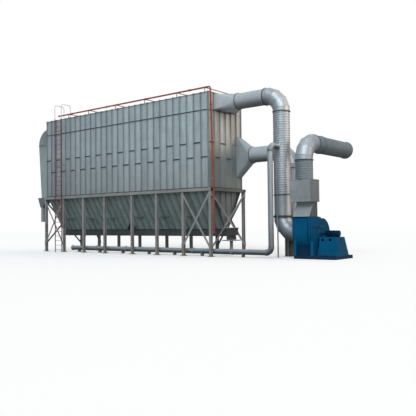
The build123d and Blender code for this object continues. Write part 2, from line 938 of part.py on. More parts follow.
pedestal_end = fan_drive_side + pedestal_length
cross_rails = (
    (fan_inlet_side, Align.MIN),
    (fan_drive_side, Align.MIN),
    (pedestal_end, Align.MAX),
)
with BuildPart() as fan_base:
    with BuildSketch():
        for y in (base_front, base_rear):
            with Locations((fan_inlet_side, y)):
                Rectangle(pedestal_end - fan_inlet_side, fan_base_rail, align=(Align.MIN, Align.CENTER))
        for x, align in cross_rails:
            with Locations((x, mid_y)):
                Rectangle(fan_base_rail, base_rear - base_front, align=(align, Align.CENTER))
    extrude(amount=fan_base_height)
fan_base.part.label = "fan_base"
export_step(fan_base.part, "parts/fan_base.step")

with BuildPart() as fan_pedestal:
    with BuildSketch(Plane.XZ.offset(-mid_y)) as pedestal_side:
        with BuildLine():
            Polyline(
                (fan_drive_side, fan_base_height),
                (pedestal_end, fan_base_height),
                (pedestal_end - pedestal_right_slope, pedestal_top_z),
                (fan_drive_side + pedestal_left_slope, pedestal_top_z),
                close=True,
            )
        make_face()
    extrude(amount=pedestal_depth / 2, both=True)
    with BuildSketch(Plane.XZ.offset(-mid_y)):
        add(pedestal_side.sketch_local)
        offset(amount=-pedestal_wall, kind=Kind.INTERSECTION)
    extrude(amount=pedestal_depth / 2 - pedestal_wall, both=True, mode=Mode.SUBTRACT)
    with BuildSketch(Plane.XZ.offset(-mid_y)):
        with Locations((fan_drive_side + pedestal_hole_x, pedestal_top_z - pedestal_hole_drop)):
            with GridLocations(pedestal_hole_pitch, 1, 2, 1):
                Circle(pedestal_hole_radius)
    extrude(amount=pedestal_depth / 2, both=True, mode=Mode.SUBTRACT)
fan_pedestal.part.label = "fan_pedestal"
export_step(fan_pedestal.part, "parts/fan_pedestal.step")

motor_start = fan_drive_side + motor_gap
motor_rise = fan_axis_z - pedestal_top_z
shaft_plane = Plane((fan_drive_side, mid_y, fan_axis_z), x_dir=(0, 1, 0), z_dir=(1, 0, 0))
with BuildPart() as fan_motor:
    with BuildSketch(shaft_plane.offset(motor_gap + motor_length)):
        Circle(motor_radius + motor_fin_height)
    extrude(amount=cowl_length)
    fillet(fan_motor.edges().sort_by(Axis.X)[-1], cowl_rounding)
    with BuildSketch(shaft_plane.offset(motor_gap)):
        Circle(motor_radius)
        with PolarLocations(motor_radius, motor_fin_count):
            Rectangle(2 * motor_fin_height, motor_fin_width)
    extrude(amount=motor_length)
    with BuildSketch(shaft_plane):
        Circle(shaft_radius)
    extrude(amount=motor_gap)
    for x, align in ((motor_start, Align.MIN), (motor_start + motor_length, Align.MAX)):
        with Locations((x, mid_y, pedestal_top_z)):
            Box(motor_foot_length, 2 * motor_radius, motor_rise, align=(align, Align.CENTER, Align.MIN))
            Box(
                motor_foot_length,
                motor_foot_width,
                motor_foot_thickness,
                align=(align, Align.CENTER, Align.MIN),
            )
fan_motor.part.label = "fan_motor"
export_step(fan_motor.part, "parts/fan_motor.step")

# Fan outlet, silencer and exhaust

fan_outlet_x = fan_inlet_side + fan_outlet_width / 2
with BuildPart() as fan_outlet:
    with BuildSketch(Plane.XY.offset(fan_outlet_z)):
        with Locations((fan_outlet_x, fan_front)):
            Rectangle(fan_outlet_width, fan_outlet_depth, align=(Align.CENTER, Align.MIN))
    with BuildSketch(Plane.XY.offset(neck_z)):
        with Locations((fan_outlet_x, fan_back)):
            Rectangle(fan_outlet_width, neck_depth, align=(Align.CENTER, Align.MAX))
    loft(ruled=True)
    with BuildSketch(Plane.XY.offset(neck_z)):
        with Locations((fan_outlet_x, fan_back)):
            Rectangle(fan_outlet_width, neck_depth, align=(Align.CENTER, Align.MAX))
    extrude(amount=silencer_low - neck_z)
    with BuildSketch(Plane.XY.offset(fan_outlet_z)):
        with Locations((fan_outlet_x, (fan_front + fan_back) / 2)):
            Rectangle(fan_outlet_width + 2 * duct_flange, fan_outlet_depth + 2 * duct_flange)
    extrude(amount=rail_thickness)
fan_outlet.part.label = "fan_outlet"
export_step(fan_outlet.part, "parts/fan_outlet.step")

silencer_top = silencer_low + silencer_height
with BuildPart() as silencer:
    with Locations((exhaust_x, exhaust_y, silencer_low)):
        Box(silencer_length, silencer_depth, silencer_height, align=CENTRE_LOW)
    for low in (silencer_low, silencer_top - rail_depth):
        with Locations((exhaust_x, exhaust_y, low)):
            Box(
                silencer_length + 2 * rail_thickness,
                silencer_depth + 2 * rail_thickness,
                rail_depth,
                align=CENTRE_LOW,
            )
silencer.part.label = "silencer"
export_step(silencer.part, "parts/silencer.step")

exhaust_riser = duct(
    Plane((exhaust_x, exhaust_y, silencer_top)), exhaust_elbow_z - silencer_top
)
exhaust_riser.label = "exhaust_riser"
export_step(exhaust_riser, "parts/exhaust_riser.step")

exhaust_elbow = lobster_back(
    (exhaust_x, exhaust_y + elbow_radius, exhaust_elbow_z),
    (0, -1, 0),
    (0, 0, 1),
    elbow_radius,
    elbow_pieces,
)
exhaust_elbow.label = "exhaust_elbow"
export_step(exhaust_elbow, "parts/exhaust_elbow.step")

exhaust_axis_z = exhaust_elbow_z + elbow_radius
exhaust_duct_start = exhaust_y + elbow_radius
with BuildPart() as exhaust_outlet:
    exhaust_start = Plane(
        (exhaust_x, exhaust_duct_start, exhaust_axis_z), x_dir=(1, 0, 0), z_dir=(0, 1, 0)
    )
    add(duct(exhaust_start, exhaust_end_y - exhaust_duct_start))
    with BuildSketch(exhaust_start.offset(exhaust_flange_y - exhaust_duct_start)):
        ring(duct_radius + duct_flange, duct_radius - duct_wall)
    extrude(amount=duct_flange_thickness, both=True)
exhaust_outlet.part.label = "exhaust_outlet"
export_step(exhaust_outlet.part, "parts/exhaust_outlet.step")

# Conveying pipe

pipe_bend_x = suction_x - pipe_bend
with BuildPart() as conveying_pipe:
    add(
        duct(
            Plane((pipe_left, pipe_y, pipe_z), x_dir=(0, 1, 0), z_dir=(1, 0, 0)),
            pipe_bend_x - pipe_left,
            pipe_radius,
            pipe_flange,
        )
    )
    with BuildSketch(Plane((pipe_left, pipe_y, pipe_z), x_dir=(0, 1, 0), z_dir=(1, 0, 0))):
        Circle(pipe_radius + pipe_flange)
    extrude(amount=-duct_flange_thickness)
conveying_pipe.part.label = "conveying_pipe"
export_step(conveying_pipe.part, "parts/conveying_pipe.step")

pipe_riser_low = pipe_z + pipe_bend
pipe_riser_top = pipe_top_z - pipe_bend
with BuildPart() as pipe_bends:
    add(
        lobster_back(
            (pipe_bend_x, pipe_y, pipe_riser_low),
            (0, 0, -1),
            (1, 0, 0),
            pipe_bend,
            pipe_pieces,
            pipe_radius,
            pipe_flange,
        )
    )
    add(
        lobster_back(
            (suction_x, pipe_y + pipe_bend, pipe_riser_top),
            (0, -1, 0),
            (0, 0, 1),
            pipe_bend,
            pipe_pieces,
            pipe_radius,
            pipe_flange,
        )
    )
pipe_bends.part.label = "pipe_bends"
export_step(pipe_bends.part, "parts/pipe_bends.step")

pipe_riser = duct(
    Plane((suction_x, pipe_y, pipe_riser_low)),
    pipe_riser_top - pipe_riser_low,
    pipe_radius,
    pipe_flange,
)
pipe_riser.label = "pipe_riser"
export_step(pipe_riser, "parts/pipe_riser.step")

with BuildPart() as pipe_branch:
    branch_start = pipe_y + pipe_bend
    add(
        duct(
            Plane((suction_x, branch_start, pipe_top_z), x_dir=(1, 0, 0), z_dir=(0, 1, 0)),
            mid_y - branch_start,
            pipe_radius,
            pipe_flange,
            (True, False),
        )
    )
    with BuildSketch(Plane.XY.offset(pipe_top_z)):
        with Locations((suction_x, mid_y)):
            Circle(duct_radius)
    extrude(amount=2 * pipe_radius, both=True, mode=Mode.SUBTRACT)
pipe_branch.part.label = "pipe_branch"
export_step(pipe_branch.part, "parts/pipe_branch.step")

with BuildPart() as pipe_saddles:
    with Locations(*[(x, pipe_y, 0) for x in saddle_xs]):
        Box(saddle_length, saddle_width, pipe_z - pipe_radius / 2, align=CENTRE_LOW)
    with BuildSketch(Plane.YZ):
        with Locations((pipe_y, pipe_z)):
            Circle(pipe_radius)
    extrude(amount=suction_x, mode=Mode.SUBTRACT)
pipe_saddles.part.label = "pipe_saddles"
export_step(pipe_saddles.part, "parts/pipe_saddles.step")

# Fire pipes

with BuildPart() as fire_main:
    with BuildSketch(Plane((fire_main_left, fire_main_y, fire_main_z), z_dir=(1, 0, 0))):
        Circle(fire_radius)
    extrude(amount=fire_joint_x - fire_main_left)
fire_main.part.label = "fire_main"
export_step(fire_main.part, "parts/fire_main.step")

with BuildPart() as fire_riser:
    with BuildLine():
        riser_path = FilletPolyline(
            (fire_joint_x, fire_main_y, fire_main_z),
            (fire_top_x, fire_main_y, fire_main_z),
            (fire_foot_x, fire_main_y, beam_top),
            (fire_foot_x, fire_main_y, fire_riser_low),
            radius=fire_bend,
        )
    with BuildSketch(Plane((fire_joint_x, fire_main_y, fire_main_z), z_dir=(1, 0, 0))):
        Circle(fire_radius)
    sweep(path=riser_path)
    with BuildSketch(Plane.XY.offset(fire_riser_low)):
        with Locations((fire_foot_x, fire_main_y)):
            Circle(coupling_radius)
    extrude(amount=coupling_length)
fire_riser.part.label = "fire_riser"
export_step(fire_riser.part, "parts/fire_riser.step")

branch_xs = [left_wall + (bay + 0.5) * panel_pitch for bay in fire_stand_bays]
branch_start_y = fire_main_y + fire_radius
with BuildPart() as fire_branches:
    with BuildSketch(Plane.XZ.offset(-branch_start_y)):
        with Locations(*[(x, fire_main_z) for x in branch_xs]):
            Circle(fire_branch_radius)
    extrude(amount=-(fire_branch_end - branch_start_y))
fire_branches.part.label = "fire_branches"
export_step(fire_branches.part, "parts/fire_branches.step")

fire_lean = math.atan2(fire_foot_x - fire_top_x, fire_main_z - beam_top)
bracket_zs = (beam_top + panel_pitch, upper_joint - panel_pitch, plenum_level - panel_pitch)
with BuildPart() as fire_supports:
    for y, radius in ((fire_main_y, fire_radius), (fire_branch_end - panel_pitch, fire_branch_radius)):
        with Locations(*[(x, y, roof_top) for x in branch_xs]):
            Box(
                fire_stand_size,
                fire_stand_size,
                fire_main_z - radius - roof_top,
                align=CENTRE_LOW,
            )
    for bracket_z in bracket_zs:
        pipe_side = fire_foot_x - (bracket_z + fire_stand_size / 2 - beam_top) * math.tan(fire_lean)
        with Locations((right_wall, fire_main_y, bracket_z)):
            Box(
                pipe_side - fire_radius / math.cos(fire_lean) - right_wall,
                fire_stand_size,
                fire_stand_size,
                align=(Align.MIN, Align.CENTER, Align.CENTER),
            )
fire_supports.part.label = "fire_supports"
export_step(fire_supports.part, "parts/fire_supports.step")

# Ladder

stile_xs = (ladder_x - ladder_width / 2, ladder_x + ladder_width / 2)
with BuildPart() as ladder:
    with Locations(*[(x, ladder_y, 0) for x in stile_xs]):
        Box(stile_thickness, stile_depth, roof_level, align=CENTRE_LOW)
    with BuildSketch(Plane.YZ.offset(stile_xs[0])):
        with Locations(*[(ladder_y, rung_pitch * (i + 0.5)) for i in range(rung_count)]):
            Circle(rung_radius)
    extrude(amount=ladder_width)
ladder.part.label = "ladder"
export_step(ladder.part, "parts/ladder.step")

ladder_back = ladder_y + stile_depth / 2
with BuildPart() as ladder_brackets:
    for level in bracket_levels:
        with Locations(*[(x, ladder_back, level) for x in stile_xs]):
            Box(
                stile_thickness,
                front_wall - ladder_back,
                bracket_height,
                align=(Align.CENTER, Align.MIN, Align.MIN),
            )
    with Locations(*[(x, ladder_back, beam_bottom + bracket_height) for x in stile_xs]):
        Box(
            stile_thickness,
            -beam_width / 2 - ladder_back,
            bracket_height,
            align=(Align.CENTER, Align.MIN, Align.MIN),
        )
ladder_brackets.part.label = "ladder_brackets"
export_step(ladder_brackets.part, "parts/ladder_brackets.step")

with BuildPart() as grab_loops:
    for x in stile_xs:
        with BuildLine():
            loop_path = FilletPolyline(
                (x, ladder_y, roof_level),
                (x, ladder_y, loop_top),
                (x, ladder_y + loop_reach, loop_top),
                (x, ladder_y + loop_reach, roof_top),
                radius=loop_bend,
            )
        with BuildSketch(Plane((x, ladder_y, roof_level))):
            Circle(loop_radius)
        sweep(path=loop_path)
grab_loops.part.label = "grab_loops"
export_step(grab_loops.part, "parts/grab_loops.step")

# Drop-out leg on the left end

leg_mid = leg_front + leg_width / 2
with BuildPart() as leg_duct:
    with BuildSketch(Plane.XZ.offset(-leg_front)):
        with BuildLine():
            Polyline(
                (left_seams - leg_bend_radius, leg_bend_z),
                (left_seams - leg_foot_length, beam_top),
                (left_seams, beam_top),
                (left_seams, leg_bend_z + leg_bend_radius),
            )
            RadiusArc(
                (left_seams, leg_bend_z + leg_bend_radius),
                (left_seams - leg_bend_radius, leg_bend_z),
                -leg_bend_radius,
            )
        make_face()
    extrude(amount=-leg_width)
    with Locations((left_seams, leg_mid, leg_bend_z)):
        Box(
            leg_bend_radius + duct_flange,
            leg_width + 2 * duct_flange,
            rail_thickness,
            align=(Align.MAX, Align.CENTER, Align.MAX),
        )
leg_duct.part.label = "leg_duct"
export_step(leg_duct.part, "parts/leg_duct.step")

hopper_inner = -beam_width / 2
hopper_outer = left_seams - leg_hopper_reach
with BuildPart() as leg_hopper:
    with BuildSketch(Plane.XY.offset(beam_top)):
        with Locations((hopper_inner, leg_mid)):
            Rectangle(hopper_inner - hopper_outer, leg_width, align=(Align.MAX, Align.CENTER))
    with BuildSketch(Plane.XY.offset(leg_hopper_low)):
        with Locations((spout_x, leg_mid)):
            Rectangle(2 * spout_radius, 2 * spout_radius)
    loft(ruled=True)
leg_hopper.part.label = "leg_hopper"
export_step(leg_hopper.part, "parts/leg_hopper.step")

with BuildPart() as leg_spout:
    with BuildSketch(Plane.XY.offset(spout_low)):
        with Locations((spout_x, leg_mid)):
            Circle(spout_radius)
    extrude(amount=leg_hopper_low - spout_low)
    for low in (spout_low, leg_hopper_low - rail_thickness):
        with BuildSketch(Plane.XY.offset(low)):
            with Locations((spout_x, leg_mid)):
                Circle(spout_radius + spout_flange)
        extrude(amount=rail_thickness)
leg_spout.part.label = "leg_spout"
export_step(leg_spout.part, "parts/leg_spout.step")
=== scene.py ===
"""Looks of the bag-filter dust collector: fixings, seams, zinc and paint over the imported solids."""

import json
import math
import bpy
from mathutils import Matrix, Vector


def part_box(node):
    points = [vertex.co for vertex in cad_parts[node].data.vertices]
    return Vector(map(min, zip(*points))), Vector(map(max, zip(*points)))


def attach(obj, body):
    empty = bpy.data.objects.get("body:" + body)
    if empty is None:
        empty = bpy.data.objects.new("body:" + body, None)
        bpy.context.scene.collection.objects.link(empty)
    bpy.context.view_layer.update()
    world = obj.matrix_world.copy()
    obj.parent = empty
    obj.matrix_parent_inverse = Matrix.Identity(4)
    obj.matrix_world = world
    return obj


bl_info = {
    "name": "Dust Collector Dressing",
    "version": (1, 0, 0),
    "blender": (4, 5, 0),
    "location": "View3D > Sidebar > Dust Collector",
    "description": "Dresses a packed bag-filter dust collector with fixings, seams and finishes",
    "category": "Object",
}

from functools import partial

import bpy
import numpy as np
from bpy.props import FloatProperty, FloatVectorProperty, IntProperty, PointerProperty
from mathutils import Matrix

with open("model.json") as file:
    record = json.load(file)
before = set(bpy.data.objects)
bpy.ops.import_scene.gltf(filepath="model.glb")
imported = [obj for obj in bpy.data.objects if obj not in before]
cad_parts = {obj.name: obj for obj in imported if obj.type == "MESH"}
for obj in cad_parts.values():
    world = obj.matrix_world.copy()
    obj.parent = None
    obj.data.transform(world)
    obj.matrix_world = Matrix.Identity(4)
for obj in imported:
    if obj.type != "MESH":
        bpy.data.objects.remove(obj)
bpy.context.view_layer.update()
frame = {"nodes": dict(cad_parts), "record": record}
BODY = "root"
BOX = {name: tuple(np.array(corner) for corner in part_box(name)) for name in frame["nodes"]}
SLOT = {part["node"]: part["material_slot"] for part in frame["record"]["subparts"]}
AXES = np.eye(3)
X, Y, Z = AXES
SIGNS = (-1, 1)

# The axis that each wall runs along, and the end of its box that is outside
WALLS = {"front_wall": (0, 0), "rear_wall": (0, 1), "left_wall": (1, 0), "right_wall": (1, 1)}
PANELS_ALONG = 28

# The axis of each straight duct, and the one end with a joint where the other has none
ROUND_DUCTS = {
    "outlet_duct": 0,
    "suction_riser": 2,
    "suction_pipe": 2,
    "inlet_duct": 0,
    "inlet_riser": 2,
    "exhaust_riser": 2,
    "exhaust_outlet": 1,
}
ONE_JOINT = {"inlet_riser": [1], "exhaust_outlet": [0]}
RIBBED_DUCTS = ("suction_riser", "exhaust_riser", "exhaust_outlet")

# The two axes that each bend turns between, and the ends of its box where the turn's centre lies
BENDS = {
    "outlet_elbow": (0, 2, 0, 0),
    "suction_elbow": (0, 2, 1, 1),
    "inlet_elbow": (0, 2, 0, 0),
    "exhaust_elbow": (1, 2, 1, 0),
}
BEND_GORES = 5

# Solids with a finish of their own in place of their slot's
OWN_FINISH = {
    "left_wall": "left_end_zinc",
    "right_wall": "right_end_zinc",
    "hopper_ends": "hopper_gable",
    "leg_duct": "plain_zinc",
    "leg_hopper": "dull_duct",
    "leg_spout": "plain_zinc",
    "conveying_pipe": "pipe_zinc",
    "pipe_bends": "pipe_zinc",
    "pipe_branch": "pipe_zinc",
    "vibrator_bars": "bar_grey",
    "grab_loops": "pale_zinc",
    "fan_outlet": "box_duct",
    "outlet_transition": "hood_zinc",
    "inlet_hood": "hood_zinc",
    "exhaust_outlet": "outlet_zinc",
    "exhaust_riser": "dull_duct",
    "exhaust_elbow": "bend_zinc",
    "outlet_duct": "level_duct",
    "inlet_duct": "level_duct",
    # The fan's base takes the darker motor enamel, which is partly painted shade under the scroll.
    "fan_base": "motor_paint",
    "end_beams": "beam_end_paint",
    "inlet_riser": "riser_zinc",
}


def middle(solid):
    """Middle of a solid's box."""
    return (BOX[solid][0] + BOX[solid][1]) / 2


def extent(solid):
    """Size of a solid's box."""
    return BOX[solid][1] - BOX[solid][0]


def corners(solid):
    """Corners (n, 3) of a solid's mesh."""
    mesh = frame["nodes"][solid].data
    places = np.empty(len(mesh.vertices) * 3, np.float32)
    mesh.vertices.foreach_get("co", places)
    return places.reshape(-1, 3)


def corners_along(solid, axis):
    """Sorted distinct corner places of a solid along one axis, to a tenth of a millimetre."""
    return np.unique(np.round(corners(solid)[:, axis], 4))


WALL_LENGTH = float(extent("front_wall")[0])


def size_value(name, description, default):
    """Length that a user may change."""
    return FloatProperty(name=name, description=description, default=default, unit="LENGTH")


def angle_value(name, description, degrees):
    """Angle that a user may change."""
    return FloatProperty(name=name, description=description, default=math.radians(degrees), unit="ROTATION")


def light_value(name, description, default):
    """Strength of a light that a user may change."""
    return FloatProperty(name=name, description=description, default=default, min=0)


def colour_value(name, description, *default):
    """Colour that a user may change."""
    return FloatVectorProperty(name=name, description=description, default=default, subtype="COLOR")


class CollectorSizes(bpy.types.PropertyGroup):
    """Sizes of the fixings, seams and trim"""

    panel_pitch: size_value("Panel Pitch", "Distance from wall seam to seam", WALL_LENGTH / PANELS_ALONG)
    seam_width: size_value("Seam Width", "Thickness of a standing seam", 0.024)
    seam_bolt_pitch: size_value("Seam Bolt Pitch", "Distance between the bolts of a wall seam", 0.25)
    seam_bolt: size_value("Seam Bolt", "Radius of a seam bolt's head", 0.010)
    # Height of the dark strip of painted shadow under a cross joint.
    joint_shadow: size_value("Joint Seal", "Height of the seal under a cross joint", 0.055)
    foot_strip: size_value("Foot Strip", "Height of the strip along a wall's foot", 0.050)
    flange_width: size_value("Flange Width", "Width of a duct's angle ring", 0.040)
    flange_thickness: size_value("Flange Thickness", "Thickness of a duct's angle ring", 0.008)
    flange_bolts: IntProperty(
        name="Flange Bolts", description="Bolts round each duct joint", default=24, min=4
    )
    flange_bolt: size_value("Flange Bolt", "Radius of a joint bolt's head", 0.012)
    rib_pitch: size_value("Rib Pitch", "Rise of a spiral duct's rib in one turn", 0.118)
    rib_width: size_value("Rib Width", "Width of the spiral rib", 0.052)
    rib_height: size_value("Rib Height", "Height of the spiral rib", 0.015)
    bead: size_value("Bead", "Radius of a bend's seam bead", 0.007)
    anchor_pitch: size_value("Anchor Pitch", "Distance between the anchors of a base plate", 0.220)
    anchor_nut: size_value("Anchor Nut", "Radius of an anchor's nut", 0.021)
    brace_cover: size_value("Brace Cover", "Width of the plate along a brace", 0.115)
    gable_edge: size_value("Gable Edge", "Width of the strip along a gable's slope", 0.20)
    gusset: size_value("Gusset", "Length of a brace's end plate", 0.24)


class CollectorFinishes(bpy.types.PropertyGroup):
    """Colours of the zinc and the paints"""

    # The blue tint of the wall panels' zinc is partly painted reflection of the sky.
    panel_light: colour_value("Panel Light", "Lighter zinc of the wall panels", 0.79, 0.92, 0.97)
    panel_dark: colour_value("Panel Dark", "Darker zinc of the wall panels", 0.57, 0.665, 0.71)
    panel_dull: colour_value("Panel Dull", "Duller zinc at the foot of the long walls", 0.50, 0.565, 0.59)
    # The end wall's zinc is lighter and warmer than the long walls'; the difference is partly painted warm
    # light on the fan's end.
    end_light: colour_value("End Wall Light", "Lighter zinc of the dusty end wall", 0.90, 0.88, 0.84)
    end_dark: colour_value("End Wall Dark", "Darker zinc of the dusty end wall", 0.72, 0.70, 0.66)
    end_grey: colour_value("End Wall Grey", "Dull zinc of the lower end wall and gables", 0.33, 0.36, 0.355)
    leg_zinc: colour_value("Leg Zinc", "Zinc of the drop-out leg below its bend", 0.45, 0.525, 0.555)
    hopper_light: colour_value("Hopper Light", "Lighter zinc of the hopper", 0.46, 0.58, 0.58)
    hopper_dark: colour_value("Hopper Dark", "Darker zinc of the hopper", 0.33, 0.41, 0.41)
    duct_light: colour_value("Duct Light", "Lighter zinc of the ducts", 0.69, 0.775, 0.83)
    duct_dark: colour_value("Duct Dark", "Darker zinc of the ducts", 0.52, 0.60, 0.65)
    # Painted shade on the ducts towards the ground; the same grey is the bolts' own colour.
    duct_shade_and_bolt_grey: colour_value("Duct Dull", "Duller zinc of the ducts towards the ground", 0.36, 0.42, 0.46)
    dull_duct: colour_value("Dull Duct", "Dull zinc of the exhaust and the leg's hopper", 0.27, 0.33, 0.365)
    # Painted shade: the dark colour at the foot of the inlet riser.
    riser_foot_shade: colour_value("Riser Foot", "Grimy zinc at the foot of the inlet riser", 0.10, 0.11, 0.11)
    pipe_zinc: colour_value("Pipe Zinc", "Zinc of the conveying pipe", 0.31, 0.37, 0.41)
    pale_light: colour_value("Pale Light", "Lighter zinc of the grab loops and lids", 0.80, 0.82, 0.84)
    pale_dark: colour_value("Pale Dark", "Darker zinc of the grab loops and lids", 0.68, 0.71, 0.74)
    # Colour of the painted sunlight on the ducts' sunny side.
    sun_warmth: colour_value("Sun Warmth", "Bleached zinc on the ducts' sunny side", 0.86, 0.80, 0.77)
    frame_paint: colour_value("Frame Paint", "Paint of the columns, beams and braces", 0.36, 0.36, 0.352)
    conveyor_paint: colour_value("Conveyor Paint", "Paint of the troughs and valve", 0.075, 0.088, 0.090)
    fan_paint: colour_value("Fan Paint", "Enamel of the fan", 0.0035, 0.125, 0.285)
    motor_paint: colour_value("Motor Paint", "Enamel of the motor", 0.004, 0.040, 0.090)
    silencer_paint: colour_value("Silencer Paint", "Paint of the silencer", 0.36, 0.41, 0.43)
    fire_paint: colour_value("Fire Pipe Paint", "Paint of the fire pipes", 0.40, 0.095, 0.070)
    ladder_paint: colour_value("Ladder Paint", "Paint of the ladder", 0.28, 0.075, 0.080)
    dust: colour_value("Dust", "Dust that has settled near the ground", 0.24, 0.21, 0.17)


class CollectorStage(bpy.types.PropertyGroup):
    """Camera, light and floor"""

    eye: FloatVectorProperty(
        name="Eye",
        description="Camera's place",
        default=(33.2095, -24.0669, 1.7307),
        subtype="TRANSLATION",
        unit="LENGTH",
    )
    yaw: angle_value("Yaw", "Camera's turn about the upright", 38.5536)
    pitch: angle_value("Pitch", "Camera's tilt above level", 1.5691)
    roll: angle_value("Roll", "Camera's turn about its view", -0.6323)
    lens: FloatProperty(
        name="Lens", description="Focal length on a 36 mm sensor", default=50.357, unit="CAMERA"
    )
    key: light_value("Key", "Strength of the cool key light", 1.35)
    rim: light_value("Rim", "Strength of the warm light from the fan's end", 0.45)
    sky: light_value("Sky", "Strength of the even light all round", 0.42)
    floor_radius: size_value("Floor Radius", "Radius of the pale floor", 160.0)


# Surfaces from arrays


def joined(shapes):
    """One set of points and faces from several (points, faces) shapes, with the indices moved on."""
    points, faces, count = [], [], 0
    for shape_points, shape_faces in shapes:
        shape_points = np.asarray(shape_points, float).reshape(-1, 3)
        points.append(shape_points)
        faces.extend(part + count for part in shape_faces)
        count += len(shape_points)
    return np.concatenate(points), faces


def build(name, slot, *shapes, look=None, rounded=False):
    """New piece from (points, faces) shapes, with its slot's finish or a look of its own."""
    points, faces = joined(shapes)
    sizes = np.concatenate([np.full(len(part), part.shape[1]) for part in faces])
    starts = np.concatenate(([0], np.cumsum(sizes)[:-1]))
    indices = np.concatenate([part.ravel() for part in faces])
    mesh = bpy.data.meshes.new(name)
    mesh.vertices.add(len(points))
    mesh.vertices.foreach_set("co", points.astype(np.float32).ravel())
    mesh.loops.add(len(indices))
    mesh.loops.foreach_set("vertex_index", indices.astype(np.int32))
    mesh.polygons.add(len(sizes))
    mesh.polygons.foreach_set("loop_start", starts.astype(np.int32))
    mesh.polygons.foreach_set("use_smooth", np.full(len(sizes), rounded))
    mesh.update(calc_edges=True)
    mesh.validate()
    mesh.materials.append(look or bpy.data.materials[slot])
    piece = bpy.data.objects.new(name, mesh)
    bpy.context.scene.collection.objects.link(piece)
    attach(piece, BODY)


def around(count):
    """Even angles round a circle, as a column."""
    return 2 * np.pi * np.arange(count)[:, None] / count


def across(axes):
    """Two unit directions square to each axis (n, 3), right-handed with it."""
    helper = np.where(np.abs(axes[:, 2:3]) > 0.9, X, Z)
    side = np.cross(helper, axes)
    side /= np.linalg.norm(side, axis=1, keepdims=True)
    return side, np.cross(axes, side)


def grid_faces(rows, columns, wrap_rows=False, wrap_columns=False):
    """Quads of a grid of points, closed round on either parameter where it wraps."""
    first = np.arange(rows if wrap_rows else rows - 1)[:, None]
    second = np.arange(columns if wrap_columns else columns - 1)[None, :]
    next_first = (first + 1) % rows
    next_second = (second + 1) % columns
    quad = (
        first * columns + second,
        first * columns + next_second,
        next_first * columns + next_second,
        next_first * columns + second,
    )
    return np.stack(np.broadcast_arrays(*quad), -1).reshape(-1, 4)


def repeated(faces, count, step):
    """The same faces (m, k) for each of `count` shapes of `step` points."""
    return (np.arange(count)[:, None, None] * step + faces).reshape(-1, faces.shape[1])


def prism_faces(count, sides):
    """Walls, floors and lids of prisms that each have a ring of corners below and one above."""
    ring = np.arange(sides)[None]
    faces = (grid_faces(2, sides, wrap_columns=True), ring[:, ::-1], ring + sides)
    return [repeated(part, count, 2 * sides) for part in faces]


def studs(centres, axes, radius, height, sides=6):
    """Closed round prisms standing on `centres` along `axes`.

    Corner j is centre + radius (cos t side + sin t up), t = 2 pi j / sides, and the upper ring is
    the same moved on by height along the axis.
    """
    centres = np.asarray(centres, float).reshape(-1, 3)
    axes = np.broadcast_to(np.asarray(axes, float), centres.shape)
    side, up = across(axes)
    turn = around(sides)
    low = centres[:, None] + radius * (np.cos(turn) * side[:, None] + np.sin(turn) * up[:, None])
    return np.stack((low, low + height * axes[:, None]), 1), prism_faces(len(centres), sides)


def prisms(outlines, way):
    """Closed prisms: each flat outline (n, k, 3), seen from the far end anticlockwise, moved on by `way`."""
    outlines = np.asarray(outlines, float)
    return np.stack((outlines, outlines + way), 1), prism_faces(*outlines.shape[:2])


def blocks(centres, *half_edges):
    """Closed blocks: each corner is the centre plus or minus three half edges."""
    centres = np.asarray(centres, float).reshape(-1, 3)
    signs = np.array([(x, y, z) for x in SIGNS for y in SIGNS for z in SIGNS], float)
    edges = np.stack([np.broadcast_to(np.asarray(half, float), centres.shape) for half in half_edges], 1)
    points = centres[:, None] + np.einsum("cs,nsk->nck", signs, edges)
    turned = np.linalg.det(edges) < 0
    outward = np.array([(0, 1, 3, 2), (4, 6, 7, 5), (0, 4, 5, 1), (2, 3, 7, 6), (0, 2, 6, 4), (1, 5, 7, 3)])
    faces = np.where(turned[:, None, None], outward[None, :, ::-1], outward[None])
    return points, [(faces + 8 * np.arange(len(centres))[:, None, None]).reshape(-1, 4)]


def strap(path, outward, half_width, height):
    """Flat strap laid on a line (n, 3) that climbs square to X: four corners at each of its points.

    The corners lie half_width to either side along X, sunk by height and raised by height along the
    line's outward direction, and the two ends are closed.
    """
    sides = X * np.array((-1, -1, 1, 1))[:, None] * half_width
    raised = np.array((-1, 1, 1, -1))[:, None] * height
    points = path[:, None] + sides + raised * outward[:, None]
    last = 4 * len(path) - 4
    ends = np.array(((3, 2, 1, 0), (last, last + 1, last + 2, last + 3)))
    return points, [grid_faces(len(path), 4, wrap_columns=True), ends]


def lathe(centres, axis, profile, segments):
    """Closed profile of (radius, along) points turned round an axis at each centre.

    Point (i, j) is centre + along_j axis + radius_j (cos t side + sin t up), t = 2 pi i / segments.
    """
    centres = np.asarray(centres, float).reshape(-1, 3)
    profile = np.asarray(profile, float)
    side, up = across(axis[None])
    turn = around(segments)
    out = np.cos(turn) * side + np.sin(turn) * up
    ring = out[:, None] * profile[:, :1] + axis * profile[:, 1:]
    faces = grid_faces(segments, len(profile), True, True)
    return centres[:, None, None] + ring, [repeated(faces, len(centres), segments * len(profile))]


def band(inner, outer, half, taper=0.0):
    """Lathe profile of a band between two radii, centred, with its rim shorter by a taper at each end."""
    return ((inner, -half), (outer, taper - half), (outer, half - taper), (inner, half))


def bead_rings(centres, first, second, tube, segments=64, sides=8):
    """Round beads along ellipses: ring point p = centre + first cos t + second sin t.

    The bead's skin is p + tube (cos s outward - sin s square), with outward from the centre to p
    and square to the ellipse's plane.
    """
    centres, first, second = (np.asarray(part, float).reshape(-1, 1, 3) for part in (centres, first, second))
    turn, skin = around(segments), around(sides)
    reach = first * np.cos(turn) + second * np.sin(turn)
    outward = reach / np.linalg.norm(reach, axis=2, keepdims=True)
    square = np.cross(first, second)
    square /= np.linalg.norm(square, axis=2, keepdims=True)
    section = np.cos(skin) * outward[:, :, None] - np.sin(skin) * square[:, :, None]
    points = (centres + reach)[:, :, None] + tube * section
    return points, [repeated(grid_faces(segments, sides, True, True), len(centres), segments * sides)]


